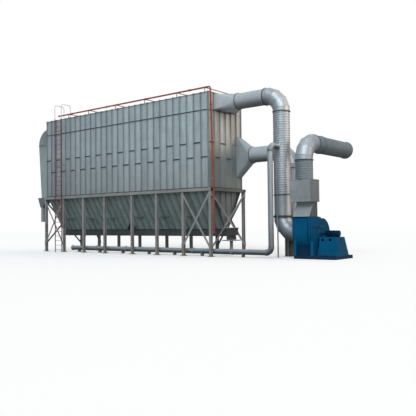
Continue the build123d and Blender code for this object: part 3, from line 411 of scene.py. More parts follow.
def spiral_rib(start, axis, length, radius, pitch, width, height):
    """Rib wound round a duct: a half-sine ridge carried along a helix.

    At turn t and place s from -1 to 1 across the ridge, the point lies pitch t / 2 pi + s width / 2
    along the axis and radius + height cos(s pi / 2) out from it, with its edges sunk in the duct.
    """
    steps_a_turn, ridge_points, sunk = 56, 9, 0.001
    side, up = across(axis[None])
    turns = (length - width) / pitch
    steps = int(turns * steps_a_turn) + 1
    turn = 2 * np.pi * np.linspace(0, turns, steps)[:, None, None]
    place = np.linspace(-1, 1, ridge_points)[None, :, None]
    along = width / 2 + pitch * turn / (2 * np.pi) + place * width / 2
    out = radius - sunk + height * np.cos(place * np.pi / 2)
    points = start + along * axis + out * (np.cos(turn) * side + np.sin(turn) * up)
    return points, [grid_faces(steps, ridge_points)[:, ::-1]]


def hoops(tops, run, half_width, rise, tube, segments=16, sides=8):
    """U-bolts over pipes: two legs and a half ring in the plane of `run` and the upright.

    Path point at t from 0 to pi is the top's centre + half_width (cos t run + sin t up), with a
    leg of length rise below each end, and the skin is a circle of radius tube square to the path.
    """
    turn, skin = np.linspace(0, np.pi, segments)[:, None], around(sides)
    ring = np.cos(turn) * run + np.sin(turn) * Z
    outward = np.concatenate((run[None], ring, -run[None]))
    arc = half_width * ring
    path = np.concatenate((arc[:1] - rise * Z, arc, arc[-1:] - rise * Z))
    hoop = path[:, None] + tube * (np.cos(skin) * outward[:, None] + np.sin(skin) * np.cross(run, Z))
    count = len(path) * sides
    ends = np.stack((np.arange(sides), count - 1 - np.arange(sides)))
    faces = (grid_faces(len(path), sides, wrap_columns=True), ends)
    return tops[:, None, None] + hoop, [repeated(part, len(tops), count) for part in faces]


# Places on the solids


def spread(start, end, pitch):
    """Even places from start to end, about a pitch apart."""
    return np.linspace(start, end, max(2, int(round((end - start) / pitch)) + 1))


def lattice(*places):
    """Every combination of the given places along X, Y and Z as points."""
    return np.stack(np.meshgrid(*places, indexing="ij"), -1).reshape(-1, 3)


def on_wall(run, places, face, levels):
    """Every combination of places along a wall that runs along X or Y, on its face, and levels."""
    return lattice([face], places, levels) if run else lattice(places, [face], levels)


def duct_run(duct, sizes):
    """Start, axis, length and outside radius of a straight flanged duct."""
    axis = ROUND_DUCTS[duct]
    start = middle(duct)
    start[axis] = BOX[duct][0][axis]
    flange = extent(duct)[(axis + 1) % 3] / 2
    return start, AXES[axis], extent(duct)[axis], flange - sizes.flange_width


# Shader groups


def node(tree, kind, inputs=None, **settings):
    """New shader node of that kind with its settings, and its inputs linked or set."""
    made = tree.nodes.new("ShaderNode" + kind)
    for key, value in settings.items():
        setattr(made, key, value)
    for key, value in (inputs or {}).items():
        if isinstance(value, bpy.types.NodeSocket):
            tree.links.new(value, made.inputs[key])
        else:
            made.inputs[key].default_value = value
    return made


def mixed(tree, factor, first, second, mode="MIX"):
    """Colour mix of two colours."""
    return node(tree, "Mix", {0: factor, 6: first, 7: second}, data_type="RGBA", blend_type=mode).outputs[2]


def ranged(tree, value, low, high, to_low=0.0, to_high=1.0):
    """Value moved from one range to another and kept inside it."""
    limits = {"From Min": low, "From Max": high, "To Min": to_low, "To Max": to_high}
    return node(tree, "MapRange", {"Value": value, **limits}).outputs[0]


def reckon(tree, operation, first, second=0.0):
    """One sum of two values."""
    return node(tree, "Math", {0: first, 1: second}, operation=operation).outputs[0]


def noise(tree, vector, scale, detail):
    """Noise value on a vector."""
    return node(tree, "TexNoise", {"Vector": vector, "Scale": scale, "Detail": detail}).outputs[0]


def along_way(tree, vector, way):
    """Share of a vector along a way."""
    return node(tree, "VectorMath", {0: vector, 1: way}, operation="DOT_PRODUCT").outputs["Value"]


def upright(tree, vector):
    """Share of a vector along the upright."""
    return node(tree, "SeparateXYZ", {0: vector}).outputs[2]


def on_solid(tree):
    """Place on the piece, in its own coordinates."""
    return node(tree, "TexCoord").outputs["Object"]


def stain_and_painted_light(tree, colour, mask, share, stain_and_light):
    """Colour that turns to another colour by a share of a mask, for stains and dust and also for painted
    light and shade.
    """
    return mixed(tree, reckon(tree, "MULTIPLY", mask, share), colour, stain_and_light)


def bumped(tree, shader, scale, detail, strength, distance):
    """Uneven skin on a shader's normal."""
    height = noise(tree, on_solid(tree), scale, detail)
    bump = node(tree, "Bump", {"Strength": strength, "Distance": distance, "Height": height})
    tree.links.new(bump.outputs[0], shader.inputs["Normal"])


def new_group(name, inputs, outputs):
    """Empty shader group and its sockets, whose kinds follow from the defaults and from the name Colour."""
    kinds = {1: "NodeSocketFloat", 3: "NodeSocketVector", 4: "NodeSocketColor"}
    tree = bpy.data.node_groups.new(name, "ShaderNodeTree")
    for label, default in inputs.items():
        socket = tree.interface.new_socket(label, in_out="INPUT", socket_type=kinds[np.size(default)])
        socket.default_value = default
    for label in outputs:
        kind = kinds[4 if label == "Colour" else 1]
        tree.interface.new_socket(label, in_out="OUTPUT", socket_type=kind)
    return tree, tree.nodes.new("NodeGroupInput").outputs, tree.nodes.new("NodeGroupOutput").inputs


def give(tree, result, **values):
    """Links values to a group's outputs, and returns the group."""
    for label, value in values.items():
        tree.links.new(value, result[label])
    return tree


def zinc_group():
    """Zinc crystals: light and dark cells of a few centimetres over slow cloudy patches."""
    inputs = {"Crystals": 40.0, "Light": (0.6, 0.6, 0.6, 1), "Dark": (0.4, 0.4, 0.4, 1)}
    tree, given, result = new_group("Zinc Crystals", inputs, ("Colour", "Grain"))
    place = on_solid(tree)
    cells = node(tree, "TexVoronoi", {"Vector": place, "Scale": given["Crystals"]})
    cell = node(tree, "SeparateColor", {0: cells.outputs["Color"]}).outputs[0]
    cloud = ranged(tree, noise(tree, place, 1.3, 4.0), 0.3, 0.7, 0.0, 0.55)
    grain = reckon(tree, "ADD", reckon(tree, "MULTIPLY", cell, 0.45), cloud)
    return give(tree, result, Colour=mixed(tree, grain, given["Dark"], given["Light"]), Grain=grain)


def streak_group():
    """Rain streaks: noise drawn out along the upright, gathered in patches."""
    tree, given, result = new_group("Rain Streaks", {"Fineness": 9.0, "Reach": 0.35}, ("Mask",))
    place = on_solid(tree)
    length = node(tree, "CombineXYZ", {0: 1.0, 1: 1.0, 2: given["Reach"]}).outputs[0]
    drawn = node(tree, "VectorMath", {0: place, 1: length}, operation="MULTIPLY").outputs[0]
    fine = ranged(tree, noise(tree, drawn, given["Fineness"], 5.0), 0.45, 0.72)
    patch = ranged(tree, noise(tree, place, 0.5, 2.0), 0.35, 0.65)
    return give(tree, result, Mask=reckon(tree, "MULTIPLY", fine, patch))


def dust_group():
    """Settled dust: most at the ground, thinning out to a height, with a broken upper edge."""
    tree, given, result = new_group("Settled Dust", {"Height": 1.5}, ("Mask",))
    place = on_solid(tree)
    fall = reckon(tree, "SUBTRACT", 1.0, reckon(tree, "DIVIDE", upright(tree, place), given["Height"]))
    broken = reckon(tree, "ADD", fall, ranged(tree, noise(tree, place, 5.0, 6.0), 0.3, 0.7, -0.35, 0.35))
    return give(tree, result, Mask=ranged(tree, broken, 0.0, 1.0))


def panel_group():
    """One random value for each panel along a wall's run, a mask of painted shadow towards its seams, and
    panels passed.

    With s the share of the panel's width passed so far, the mask is the larger of 1 - s / After
    and 1 - (1 - s) / Before, and nothing below zero.
    """
    inputs = {"Run": (1.0, 0.0, 0.0), "Start": 0.1, "Pitch": 0.5, "After": 0.3, "Before": 0.2}
    tree, given, result = new_group("Panel Shade", inputs, ("Shade", "Seam", "Along"))
    run = along_way(tree, on_solid(tree), given["Run"])
    along = reckon(tree, "DIVIDE", reckon(tree, "SUBTRACT", run, given["Start"]), given["Pitch"])
    number = reckon(tree, "FLOOR", along)
    chance = node(tree, "TexWhiteNoise", {"W": number}, noise_dimensions="1D").outputs["Value"]
    passed = reckon(tree, "FRACT", along)
    ahead = reckon(tree, "SUBTRACT", 1.0, passed)
    after = reckon(tree, "SUBTRACT", 1.0, reckon(tree, "DIVIDE", passed, given["After"]))
    before = reckon(tree, "SUBTRACT", 1.0, reckon(tree, "DIVIDE", ahead, given["Before"]))
    # Mask of the painted shadow beside the seams.
    seam = ranged(tree, reckon(tree, "MAXIMUM", after, before), 0.0, 1.0)
    return give(tree, result, Shade=chance, Seam=seam, Along=along)


def aspect_group():
    """Masks of the way a surface faces, which the finishes use to paint light and shade: underneath, and
    towards the afternoon sun.

    The first grows as the normal's upright share falls below Reach; the second is its share along Sun.
    """
    inputs = {"Sun": (0.87, 0.45, 0.20), "Reach": -0.15}
    tree, given, result = new_group("Surface Aspect", inputs, ("Under", "Sunny"))
    normal = node(tree, "NewGeometry").outputs["Normal"]
    lowest = reckon(tree, "SUBTRACT", given["Reach"], 0.8)
    under = ranged(tree, upright(tree, normal), given["Reach"], lowest)
    sunny = ranged(tree, along_way(tree, normal, given["Sun"]), 0.15, 0.95)
    return give(tree, result, Under=under, Sunny=sunny)


def level_group():
    """Mask that grows with the height from one level to another, with a cloudy edge."""
    tree, given, result = new_group("Height Change", {"Low": 5.0, "High": 7.0}, ("Mask",))
    place = on_solid(tree)
    cloud = ranged(tree, noise(tree, place, 1.1, 3.0), 0.3, 0.7, -0.35, 0.35)
    cloudy = reckon(tree, "ADD", upright(tree, place), cloud)
    return give(tree, result, Mask=ranged(tree, cloudy, given["Low"], given["High"]))


def scuff_group():
    """Scuffed paint: small chips where two noises meet, and slow fading."""
    tree, given, result = new_group("Paint Scuffs", {"Chips": 22.0}, ("Chip", "Fade"))
    place = on_solid(tree)
    fine = ranged(tree, noise(tree, place, given["Chips"], 6.0), 0.66, 0.70)
    where = ranged(tree, noise(tree, place, 1.7, 2.0), 0.52, 0.66)
    fade = ranged(tree, noise(tree, place, 0.9, 5.0), 0.3, 0.7)
    return give(tree, result, Chip=reckon(tree, "MULTIPLY", fine, where), Fade=fade)


def use_group(tree, group, **inputs):
    """Places a shader group in a material with its own values, and returns its outputs."""
    made = node(tree, "Group", node_tree=group)
    for label, value in inputs.items():
        made.inputs[label].default_value = value
    return made.outputs


# Finishes


def new_material(name, metallic, sheen):
    """Material of that name with only a shader in it, with a plain metallic share and specular level."""
    material = bpy.data.materials.get(name) or bpy.data.materials.new(name)
    material.use_nodes = True
    tree = material.node_tree
    tree.nodes.clear()
    shader = node(tree, "BsdfPrincipled", {"Metallic": metallic, "Specular IOR Level": sheen})
    node(tree, "OutputMaterial", {"Surface": shader.outputs[0]})
    return tree, shader


def toned(colour, factor):
    """Colour made lighter or darker."""
    return tuple(min(1.0, channel * factor) for channel in colour)


def rgba(colour, factor=1.0):
    """Colour as four numbers, made lighter or darker."""
    return (*toned(colour, factor), 1.0)


def zinc(
    groups,
    dust,
    name,
    light,
    dark,
    metallic=0.15,
    crystals=34.0,
    streaks=0.5,
    dust_height=1.4,
    run=None,
    far=1.0,
    seams=(0.30, 0.20, 0.62),
    below=None,
    sunny=None,
    under=-0.15,
    lee=0.0,
    gloss=(0.62, 0.46),
):
    """Weathered galvanised sheet: crystals, rain streaks, settled dust and uneven gloss, with painted light
    and shade.

    With `run`, the way along a panelled wall, its first seam and its pitch, each panel has its own
    tone and darkens towards its seams with a painted shadow, by the widths and the depth in `seams`; the
    share `far` of its lightness is left at the run's start. With `below`, a colour, two levels and the share
    of the seams' depth that is lost, the sheet turns to that colour under them. With `sunny`, a colour,
    round sheet gets painted sunlight on its sunny side and painted shade underneath, from the upright share
    `under` of its normal down. `lee` paints shade on the faces of a box that look towards the fan's end.
    `gloss` is the roughness of the dark and the light crystals.
    """
    far_panel, near_panel = 2.0, 22.0
    painted_sun_share, painted_under_shade, dust_share = 0.75, 0.80, 0.6
    tree, shader = new_material(name, metallic, 0.3)
    crystal = use_group(tree, groups["zinc"], Crystals=crystals, Light=rgba(light), Dark=rgba(dark))
    colour = crystal["Colour"]
    seam_shadow_depth = seams[2]
    if below:
        low_colour, low, high, lost = below
        above = use_group(tree, groups["level"], Low=low, High=high)["Mask"]
        pair = {"Light": rgba(low_colour, 1.12), "Dark": rgba(low_colour, 0.86)}
        plain = use_group(tree, groups["zinc"], Crystals=crystals, **pair)["Colour"]
        colour = mixed(tree, above, plain, colour)
        seam_shadow_depth = ranged(tree, above, 0.0, 1.0, seams[2] * (1.0 - lost), seams[2])
    if run:
        way, start, pitch = run
        places = {"Run": way, "Start": start, "Pitch": pitch, "After": seams[0], "Before": seams[1]}
        panel = use_group(tree, groups["panel"], **places)
        fall = ranged(tree, panel["Along"], far_panel, near_panel, far, 1.0)
        shade = reckon(tree, "MULTIPLY", ranged(tree, panel["Shade"], 0.0, 1.0, 0.90, 1.08), fall)
        tone = node(tree, "CombineColor", {0: shade, 1: shade, 2: shade}).outputs[0]
        colour = mixed(tree, 1.0, colour, tone, "MULTIPLY")
        # Painted shadow that darkens each panel towards its seams.
        colour = stain_and_painted_light(tree, colour, panel["Seam"], seam_shadow_depth, rgba(dark, 0.40))
    # Painted sunlight on the side that faces the sun, and painted shade on the underside.
    if sunny:
        aspect = use_group(tree, groups["aspect"], Reach=under)
        colour = stain_and_painted_light(tree, colour, aspect["Sunny"], painted_sun_share, rgba(sunny))
        colour = stain_and_painted_light(tree, colour, aspect["Under"], painted_under_shade, rgba(dark, 0.20))
    # Painted shade on the faces that look towards the fan's end.
    if lee:
        turned = use_group(tree, groups["aspect"])["Sunny"]
        colour = stain_and_painted_light(tree, colour, turned, lee, rgba(dark, 0.12))
    wet = use_group(tree, groups["streak"], Fineness=7.0, Reach=0.10)["Mask"]
    colour = stain_and_painted_light(tree, colour, wet, streaks, rgba(dark, 0.55))
    settled = use_group(tree, groups["dust"], Height=dust_height)["Mask"]
    colour = stain_and_painted_light(tree, colour, settled, dust_share, rgba(dust))
    tree.links.new(colour, shader.inputs["Base Color"])
    tree.links.new(ranged(tree, crystal["Grain"], 0.0, 1.0, *gloss), shader.inputs["Roughness"])
    bumped(tree, shader, scale=2.2, detail=3.0, strength=0.10, distance=0.02)


def paint(
    groups,
    dust,
    name,
    colour,
    primer=(0.20, 0.17, 0.15),
    roughness=0.45,
    dust_height=1.2,
    dust_share=0.45,
    lee=0.0,
    sheen=0.25,
):
    """Machine paint: fading, chips to the primer, rain streaks, settled dust and painted shade.

    `lee` paints shade on the faces that look towards the fan's end, and `sheen` is the specular level.
    """
    tree, shader = new_material(name, 0.0, sheen)
    scuff = use_group(tree, groups["scuff"])
    shown = mixed(tree, scuff["Fade"], rgba(colour, 0.82), rgba(colour, 1.22))
    shown = stain_and_painted_light(tree, shown, scuff["Chip"], 0.8, rgba(primer))
    wet = use_group(tree, groups["streak"], Fineness=8.0, Reach=0.15)["Mask"]
    shown = stain_and_painted_light(tree, shown, wet, 0.35, rgba(colour, 0.5))
    settled = use_group(tree, groups["dust"], Height=dust_height)["Mask"]
    shown = stain_and_painted_light(tree, shown, settled, dust_share, rgba(dust))
    # Painted shade on the faces that look towards the fan's end.
    if lee:
        turned = use_group(tree, groups["aspect"])["Sunny"]
        shown = stain_and_painted_light(tree, shown, turned, lee, rgba(colour, 0.12))
    tree.links.new(shown, shader.inputs["Base Color"])
    gloss = ranged(tree, scuff["Fade"], 0.0, 1.0, roughness - 0.08, roughness + 0.14)
    tree.links.new(gloss, shader.inputs["Roughness"])
    bumped(tree, shader, scale=60.0, detail=2.0, strength=0.06, distance=0.004)


class DUSTCOLLECTOR_OT_finishes(bpy.types.Operator):
    """Make the zinc and paint materials and give every solid its own"""

    bl_idname = "dust_collector.finishes"
    bl_label = "Finishes"

    def execute(self, context):
        colours = context.scene.collector_finishes
        groups = {
            "zinc": zinc_group(),
            "streak": streak_group(),
            "dust": dust_group(),
            "panel": panel_group(),
            "scuff": scuff_group(),
            "aspect": aspect_group(),
            "level": level_group(),
        }
        sheet = partial(zinc, groups, colours.dust)
        self.wall_zinc(sheet, colours, context.scene.collector_sizes.panel_pitch)
        self.duct_zinc(sheet, colours)
        self.paints(partial(paint, groups, colours.dust), colours)
        for name, solid in frame["nodes"].items():
            solid.data.materials.clear()
            solid.data.materials.append(bpy.data.materials[OWN_FINISH.get(name, SLOT[name])])
        return {"FINISHED"}

    def wall_zinc(self, sheet, colours, pitch):
        """Zinc of the walls, the hopper and the drop-out leg."""
        along_x = ((1.0, 0.0, 0.0), BOX["front_wall"][0][0], pitch)
        along_y = ((0.0, 1.0, 0.0), BOX["left_wall"][0][1], pitch)
        panel = (colours.panel_light, colours.panel_dark)
        end_wall = (colours.end_light, colours.end_dark)
        hopper = (colours.hopper_light, colours.hopper_dark)
        gable = (toned(colours.end_grey, 0.90), toned(colours.end_grey, 0.66))
        leg_bend = (toned(colours.panel_light, 0.48), toned(colours.panel_dark, 0.44))
        long_foot = (colours.panel_dull, 3.4, 6.4, 0.15)
        # Below these levels the end wall turns darker and greyer: partly dirt, partly painted shade of the
        # ducts.
        end_foot = (colours.end_grey, 5.2, 7.0, 1.0)
        leg_foot = (colours.leg_zinc, 6.9, 7.5, 0.0)
        # Widths and depth of the painted shadow beside the seams of the walls.
        long_seam_shadows, end_seam_shadows = (0.30, 0.20, 0.70), (0.30, 0.55, 0.80)
        long_wall = {"run": along_x, "far": 0.76, "seams": long_seam_shadows, "below": long_foot}
        sheet("galvanised_panel", *panel, metallic=0.3, **long_wall)
        sheet("left_end_zinc", *panel, run=along_y)
        sheet("right_end_zinc", *end_wall, run=along_y, seams=end_seam_shadows, below=end_foot)
        sheet("plain_zinc", *leg_bend, below=leg_foot)
        sheet("hopper_sheet", *hopper, streaks=0.7, run=along_x, seams=(0.15, 0.60, 0.55))
        sheet("hopper_gable", *gable, run=along_y, seams=(0.2, 0.3, 0.3))

    def duct_zinc(self, sheet, colours):
        """Zinc of the ducts, the conveying pipe and the small steelwork."""
        duct = (colours.duct_light, colours.duct_dark)
        hood = (toned(colours.duct_light, 0.87), toned(colours.duct_dark, 0.87))
        boxed = (toned(colours.duct_light, 0.65), toned(colours.duct_dark, 0.62))
        dull = (toned(colours.dull_duct, 1.15), toned(colours.dull_duct, 0.8))
        pipe = (toned(colours.pipe_zinc, 1.45), toned(colours.pipe_zinc, 1.05))
        bolts = (colours.duct_shade_and_bolt_grey, toned(colours.duct_shade_and_bolt_grey, 1.2))
        # The ducts turn to painted shade towards the ground below these levels.
        duct_foot_shade = (colours.duct_shade_and_bolt_grey, 0.8, 5.4, 0.0)
        # The inlet riser's foot turns to painted shade below these levels.
        riser_foot_shade = (colours.riser_foot_shade, 0.8, 2.6, 0.0)
        fine = {"crystals": 26.0, "streaks": 0.25}
        sun = {"sunny": colours.sun_warmth}
        sheet("galvanised_duct", *duct, metallic=0.65, below=duct_foot_shade, gloss=(0.50, 0.40), **fine, **sun)
        sheet("level_duct", *duct, gloss=(0.46, 0.34), **fine, **sun)
        sheet("bend_zinc", *duct, metallic=0.5, lee=0.5, gloss=(0.52, 0.42), **fine)
        sheet("riser_zinc", *duct, metallic=0.4, below=riser_foot_shade, **sun)
        sheet("hood_zinc", *hood, metallic=0.2, **fine)
        sheet("box_duct", *boxed, metallic=0.2, lee=0.88, **fine)
        sheet("outlet_zinc", *dull, metallic=0.3, lee=0.28, **fine)
        sheet("dull_duct", *dull, metallic=0.3, **fine)
        sheet("pipe_zinc", *pipe, crystals=50.0, streaks=0.3, dust_height=0.1, under=0.55, **sun)
        sheet("pale_zinc", colours.pale_light, colours.pale_dark, crystals=60.0)
        sheet("support_steel", *bolts, crystals=60.0)

    def paints(self, coat, colours):
        """Paints of the frame, the conveyor, the fan, the silencer, the fire pipes and the ladder."""
        enamel = {"roughness": 0.5, "dust_height": 0.4, "dust_share": 0.08, "sheen": 0.06}
        coat("frame_steel", colours.frame_paint, roughness=0.6)
        # The end beams take a darker copy of the frame paint, which is painted shade.
        coat("beam_end_paint", toned(colours.frame_paint, 0.62), roughness=0.6)
        coat("conveyor_grey", colours.conveyor_paint, roughness=0.55)
        coat("bar_grey", toned(colours.conveyor_paint, 2.8), roughness=0.6)
        coat("fan_blue", colours.fan_paint, lee=0.45, **enamel)
        coat("motor_paint", colours.motor_paint, **enamel)
        coat("silencer_grey", colours.silencer_paint, roughness=0.5, lee=0.52)
        coat("fire_red", colours.fire_paint, primer=(0.16, 0.08, 0.06), roughness=0.5)
        coat("ladder_red", colours.ladder_paint, primer=(0.15, 0.09, 0.08), roughness=0.55)


class DUSTCOLLECTOR_OT_panel_bolts(bpy.types.Operator):
    """Bolt the standing seams of the four walls"""

    bl_idname = "dust_collector.panel_bolts"
    bl_label = "Panel Bolts"

    def execute(self, context):
        sizes = context.scene.collector_sizes
        end_clear, set_in, head_height, slack = 0.12, 0.022, 0.008, 0.01
        low, high = BOX["front_wall"]
        levels = spread(low[2] + end_clear, high[2] - end_clear, sizes.seam_bolt_pitch)
        bolts = []
        for wall, (run, outer) in WALLS.items():
            seams = np.arange(BOX[wall][0][run], BOX[wall][1][run] + slack, sizes.panel_pitch)[1:-1]
            face = BOX[wall][outer][1 - run] - SIGNS[outer] * set_in
            for side in SIGNS:
                places = on_wall(run, seams + side * sizes.seam_width / 2, face, levels)
                bolts.append(studs(places, side * AXES[run], sizes.seam_bolt, head_height))
        build("panel_bolts", "support_steel", *bolts)
        return {"FINISHED"}


class DUSTCOLLECTOR_OT_joint_shadow_strips(bpy.types.Operator):
    """Lay dark strips of painted shadow under the cross joints of the walls, and a dark strip along their
    foot that is partly a real seal and partly painted shadow
    """

    bl_idname = "dust_collector.joint_seals"
    bl_label = "Joint Seals"

    def execute(self, context):
        sizes = context.scene.collector_sizes
        sunk, half_shadow_depth, half_strip, seam_clear, plenum_share = 0.030, 0.016, 0.004, 0.002, 0.7
        foot, _, lower, _, upper, _, plenum = corners_along("front_wall", 2)[:7]
        half_width = (sizes.panel_pitch - sizes.seam_width) / 2 - seam_clear
        shadow_strips = []
        for wall, (run, outer) in WALLS.items():
            out = AXES[1 - run] * SIGNS[outer]
            length = extent(wall)[run]
            panels = np.arange(int(round(length / sizes.panel_pitch)))
            middles = BOX[wall][0][run] + (panels + 0.5) * sizes.panel_pitch
            if run != outer:
                middles = middles[::-1]
            face = BOX[wall][outer][1 - run]
            for level, chosen, height in (
                (lower, middles[1::2], sizes.joint_shadow),
                (upper, middles[0::2], sizes.joint_shadow),
                (plenum, middles, sizes.joint_shadow * plenum_share),
            ):
                if wall == "right_wall":
                    chosen = chosen[chosen < BOX["inlet_hood"][0][1]]
                places = on_wall(run, chosen, face - out[1 - run] * sunk, [level - height / 2])
                shadow_strips.append(blocks(places, AXES[run] * half_width, out * half_shadow_depth, Z * height / 2))
            centre = middle(wall)
            centre[1 - run] = face
            centre[2] = foot + sizes.foot_strip / 2
            half_edges = (AXES[run] * length / 2, out * half_strip, Z * sizes.foot_strip / 2)
            shadow_strips.append(blocks(centre + out * half_strip, *half_edges))
        build("joint_seals", "conveyor_grey", *shadow_strips)
        return {"FINISHED"}


class DUSTCOLLECTOR_OT_duct_ribs(bpy.types.Operator):
    """Wind the ribs of the spiral ducts"""

    bl_idname = "dust_collector.duct_ribs"
    bl_label = "Duct Ribs"

    def execute(self, context):
        sizes = context.scene.collector_sizes
        clear = 2.5 * sizes.flange_thickness
        ridge = (sizes.rib_pitch, sizes.rib_width, sizes.rib_height)
        for duct in RIBBED_DUCTS:
            start, axis, length, radius = duct_run(duct, sizes)
            rib = spiral_rib(start + clear * axis, axis, length - 2 * clear, radius, *ridge)
            look = frame["nodes"][duct].data.materials[0]
            build(duct + "_rib", "galvanised_duct", rib, look=look, rounded=True)
        return {"FINISHED"}


class DUSTCOLLECTOR_OT_bend_beads(bpy.types.Operator):
    """Bead the mitres of the bends and the seams of the plain ducts"""

    bl_idname = "dust_collector.bend_beads"
    bl_label = "Bend Beads"

    def execute(self, context):
        sizes = context.scene.collector_sizes
        proud, end_clear, seam_pitch = 0.006, 0.12, 0.75
        turn = math.pi / 2 / (BEND_GORES - 1)
        angles = turn * (np.arange(BEND_GORES - 1) + 0.5)[:, None]
        reach = 1 / math.cos(turn / 2)
        beads = []
        for bend, (first, second, first_end, second_end) in BENDS.items():
            flange = extent(bend)[3 - first - second] / 2
            arc = extent(bend)[first] - flange
            radius = flange - sizes.flange_width + proud
            centre = middle(bend)
            centre[first] = BOX[bend][first_end][first]
            centre[second] = BOX[bend][second_end][second]
            out, along = -SIGNS[first_end] * AXES[first], -SIGNS[second_end] * AXES[second]
            towards = (np.cos(angles) * out + np.sin(angles) * along) * reach
            square = np.cross(out, along)
            beads.append(bead_rings(centre + towards * arc, towards * radius, square * radius, sizes.bead))
        for duct in ROUND_DUCTS:
            if duct in RIBBED_DUCTS:
                continue
            start, axis, length, radius = duct_run(duct, sizes)
            side, up = across(axis[None])
            places = spread(end_clear, length - end_clear, seam_pitch)[:, None]
            beads.append(bead_rings(start + places * axis, side * radius, up * radius, sizes.bead))
        build("duct_beads", "galvanised_duct", *beads, rounded=True)
        return {"FINISHED"}


class DUSTCOLLECTOR_OT_flange_bolts(bpy.types.Operator):
    """Bolt every joint of the round ducts, put its band round it, and clamp the suction pipe to its stand"""

    bl_idname = "dust_collector.flange_bolts"
    bl_label = "Flange Bolts"

    def execute(self, context):
        sizes = context.scene.collector_sizes
        bolt_share, head_height, segments = 0.55, 0.010, 64
        band_sunk, band_proud, half_band = 0.010, 0.004, 0.018
        clamp_thickness, half_clamp, clamp_drop = 0.055, 0.05, 0.06
        turn = 2 * np.pi * (np.arange(sizes.flange_bolts)[:, None] + 0.5) / sizes.flange_bolts
        bolts, bands = [], []
        for duct in ROUND_DUCTS:
            start, axis, length, radius = duct_run(duct, sizes)
            side, up = across(axis[None])
            circle = (radius + bolt_share * sizes.flange_width) * (np.cos(turn) * side + np.sin(turn) * up)
            joints = start + length * np.array(ONE_JOINT.get(duct, [0, 1]))[:, None] * axis
            for joint in joints:
                for way in SIGNS:
                    face = joint + axis * way * sizes.flange_thickness
                    bolts.append(studs(face + circle, way * axis, sizes.flange_bolt, head_height))
            rim = radius + sizes.flange_width
            bands.append(lathe(joints, axis, band(rim - band_sunk, rim + band_proud, half_band), segments))
        start, axis, length, radius = duct_run("suction_pipe", sizes)
        start[2] = BOX["suction_stand"][1][2] - clamp_drop
        bands.append(lathe(start, axis, band(radius, radius + clamp_thickness, half_clamp), segments))
        build("flange_bolts", "support_steel", *bolts)
        build("joint_bands", "conveyor_grey", *bands)
        return {"FINISHED"}


class DUSTCOLLECTOR_OT_frame_fixings(bpy.types.Operator):
    """Set the anchors of the base plates and the covers and bolted end plates of the braces"""

    bl_idname = "dust_collector.frame_fixings"
    bl_label = "Frame Fixings"

    def execute(self, context):
        sizes = context.scene.collector_sizes
        # Each H section has four edges along an axis
        columns = [corners_along("columns", axis).reshape(-1, 4).mean(1) for axis in (0, 1)]
        self.anchors(sizes, columns)
        self.braces(sizes, columns)
        return {"FINISHED"}

    def anchors(self, sizes, columns):
        """Four anchors with nuts on each base plate."""
        nut_height, rod_radius, rod_height, rod_sides = 0.022, 0.012, 0.055, 10
        half = sizes.anchor_pitch / 2
        places = [np.concatenate((line - half, line + half)) for line in columns]
        feet = lattice(*places, [BOX["base_plates"][1][2]])
        nuts = studs(feet, Z, sizes.anchor_nut, nut_height)
        build("anchor_bolts", "support_steel", nuts, studs(feet, Z, rod_radius, rod_height, rod_sides))

    def braces(self, sizes, columns):
        """A cover along each brace, and at its ends a plate with four bolts."""
        plate_clear, half_plate, half_thickness = 0.10, 0.08, 0.005
        bolt_out, bolt_up, bolt_radius, bolt_height = 0.05, 0.06, 0.013, 0.012
        cover_clear, rising, falling = 0.03, 0.004, 0.0025
        low, high = BOX["braces_whole"]
        levels = [low[2] + plate_clear, high[2] - plate_clear]
        bottom, top = low[2] + cover_clear, high[2] - cover_clear
        end_bays = (columns[0][:2], columns[0][-2:])
        plates, covers, bolts = [], [], []
        for run, bays in ((0, end_bays), (1, (columns[1],))):
            around_plate = on_wall(run, (-bolt_out, bolt_out), 0.0, (-bolt_up, bolt_up))
            for way, face in zip(SIGNS, (low[1 - run], high[1 - run])):
                out = way * AXES[1 - run]
                centres = on_wall(run, np.concatenate(bays), face, levels) + out * half_thickness
                half_edges = (AXES[run] * half_plate, out * half_thickness, Z * sizes.gusset / 2)
                plates.append(blocks(centres, *half_edges))
                heads = centres[:, None] + around_plate + out * half_thickness
                bolts.append(studs(heads, out, bolt_radius, bolt_height))
                for start, end in bays:
                    centre = on_wall(run, [(start + end) / 2], face, [(bottom + top) / 2])
                    for rise, thickness in ((1, rising), (-1, falling)):
                        along = (AXES[run] * (end - start) + Z * rise * (top - bottom)) / 2
                        square = np.cross(along, out) / np.linalg.norm(along) * sizes.brace_cover / 2
                        covers.append(blocks(centre + out * thickness, along, square, out * thickness))
        build("brace_plates", "frame_steel", *plates)
        build("brace_covers", "frame_steel", *covers)
        build("brace_bolts", "support_steel", *bolts)


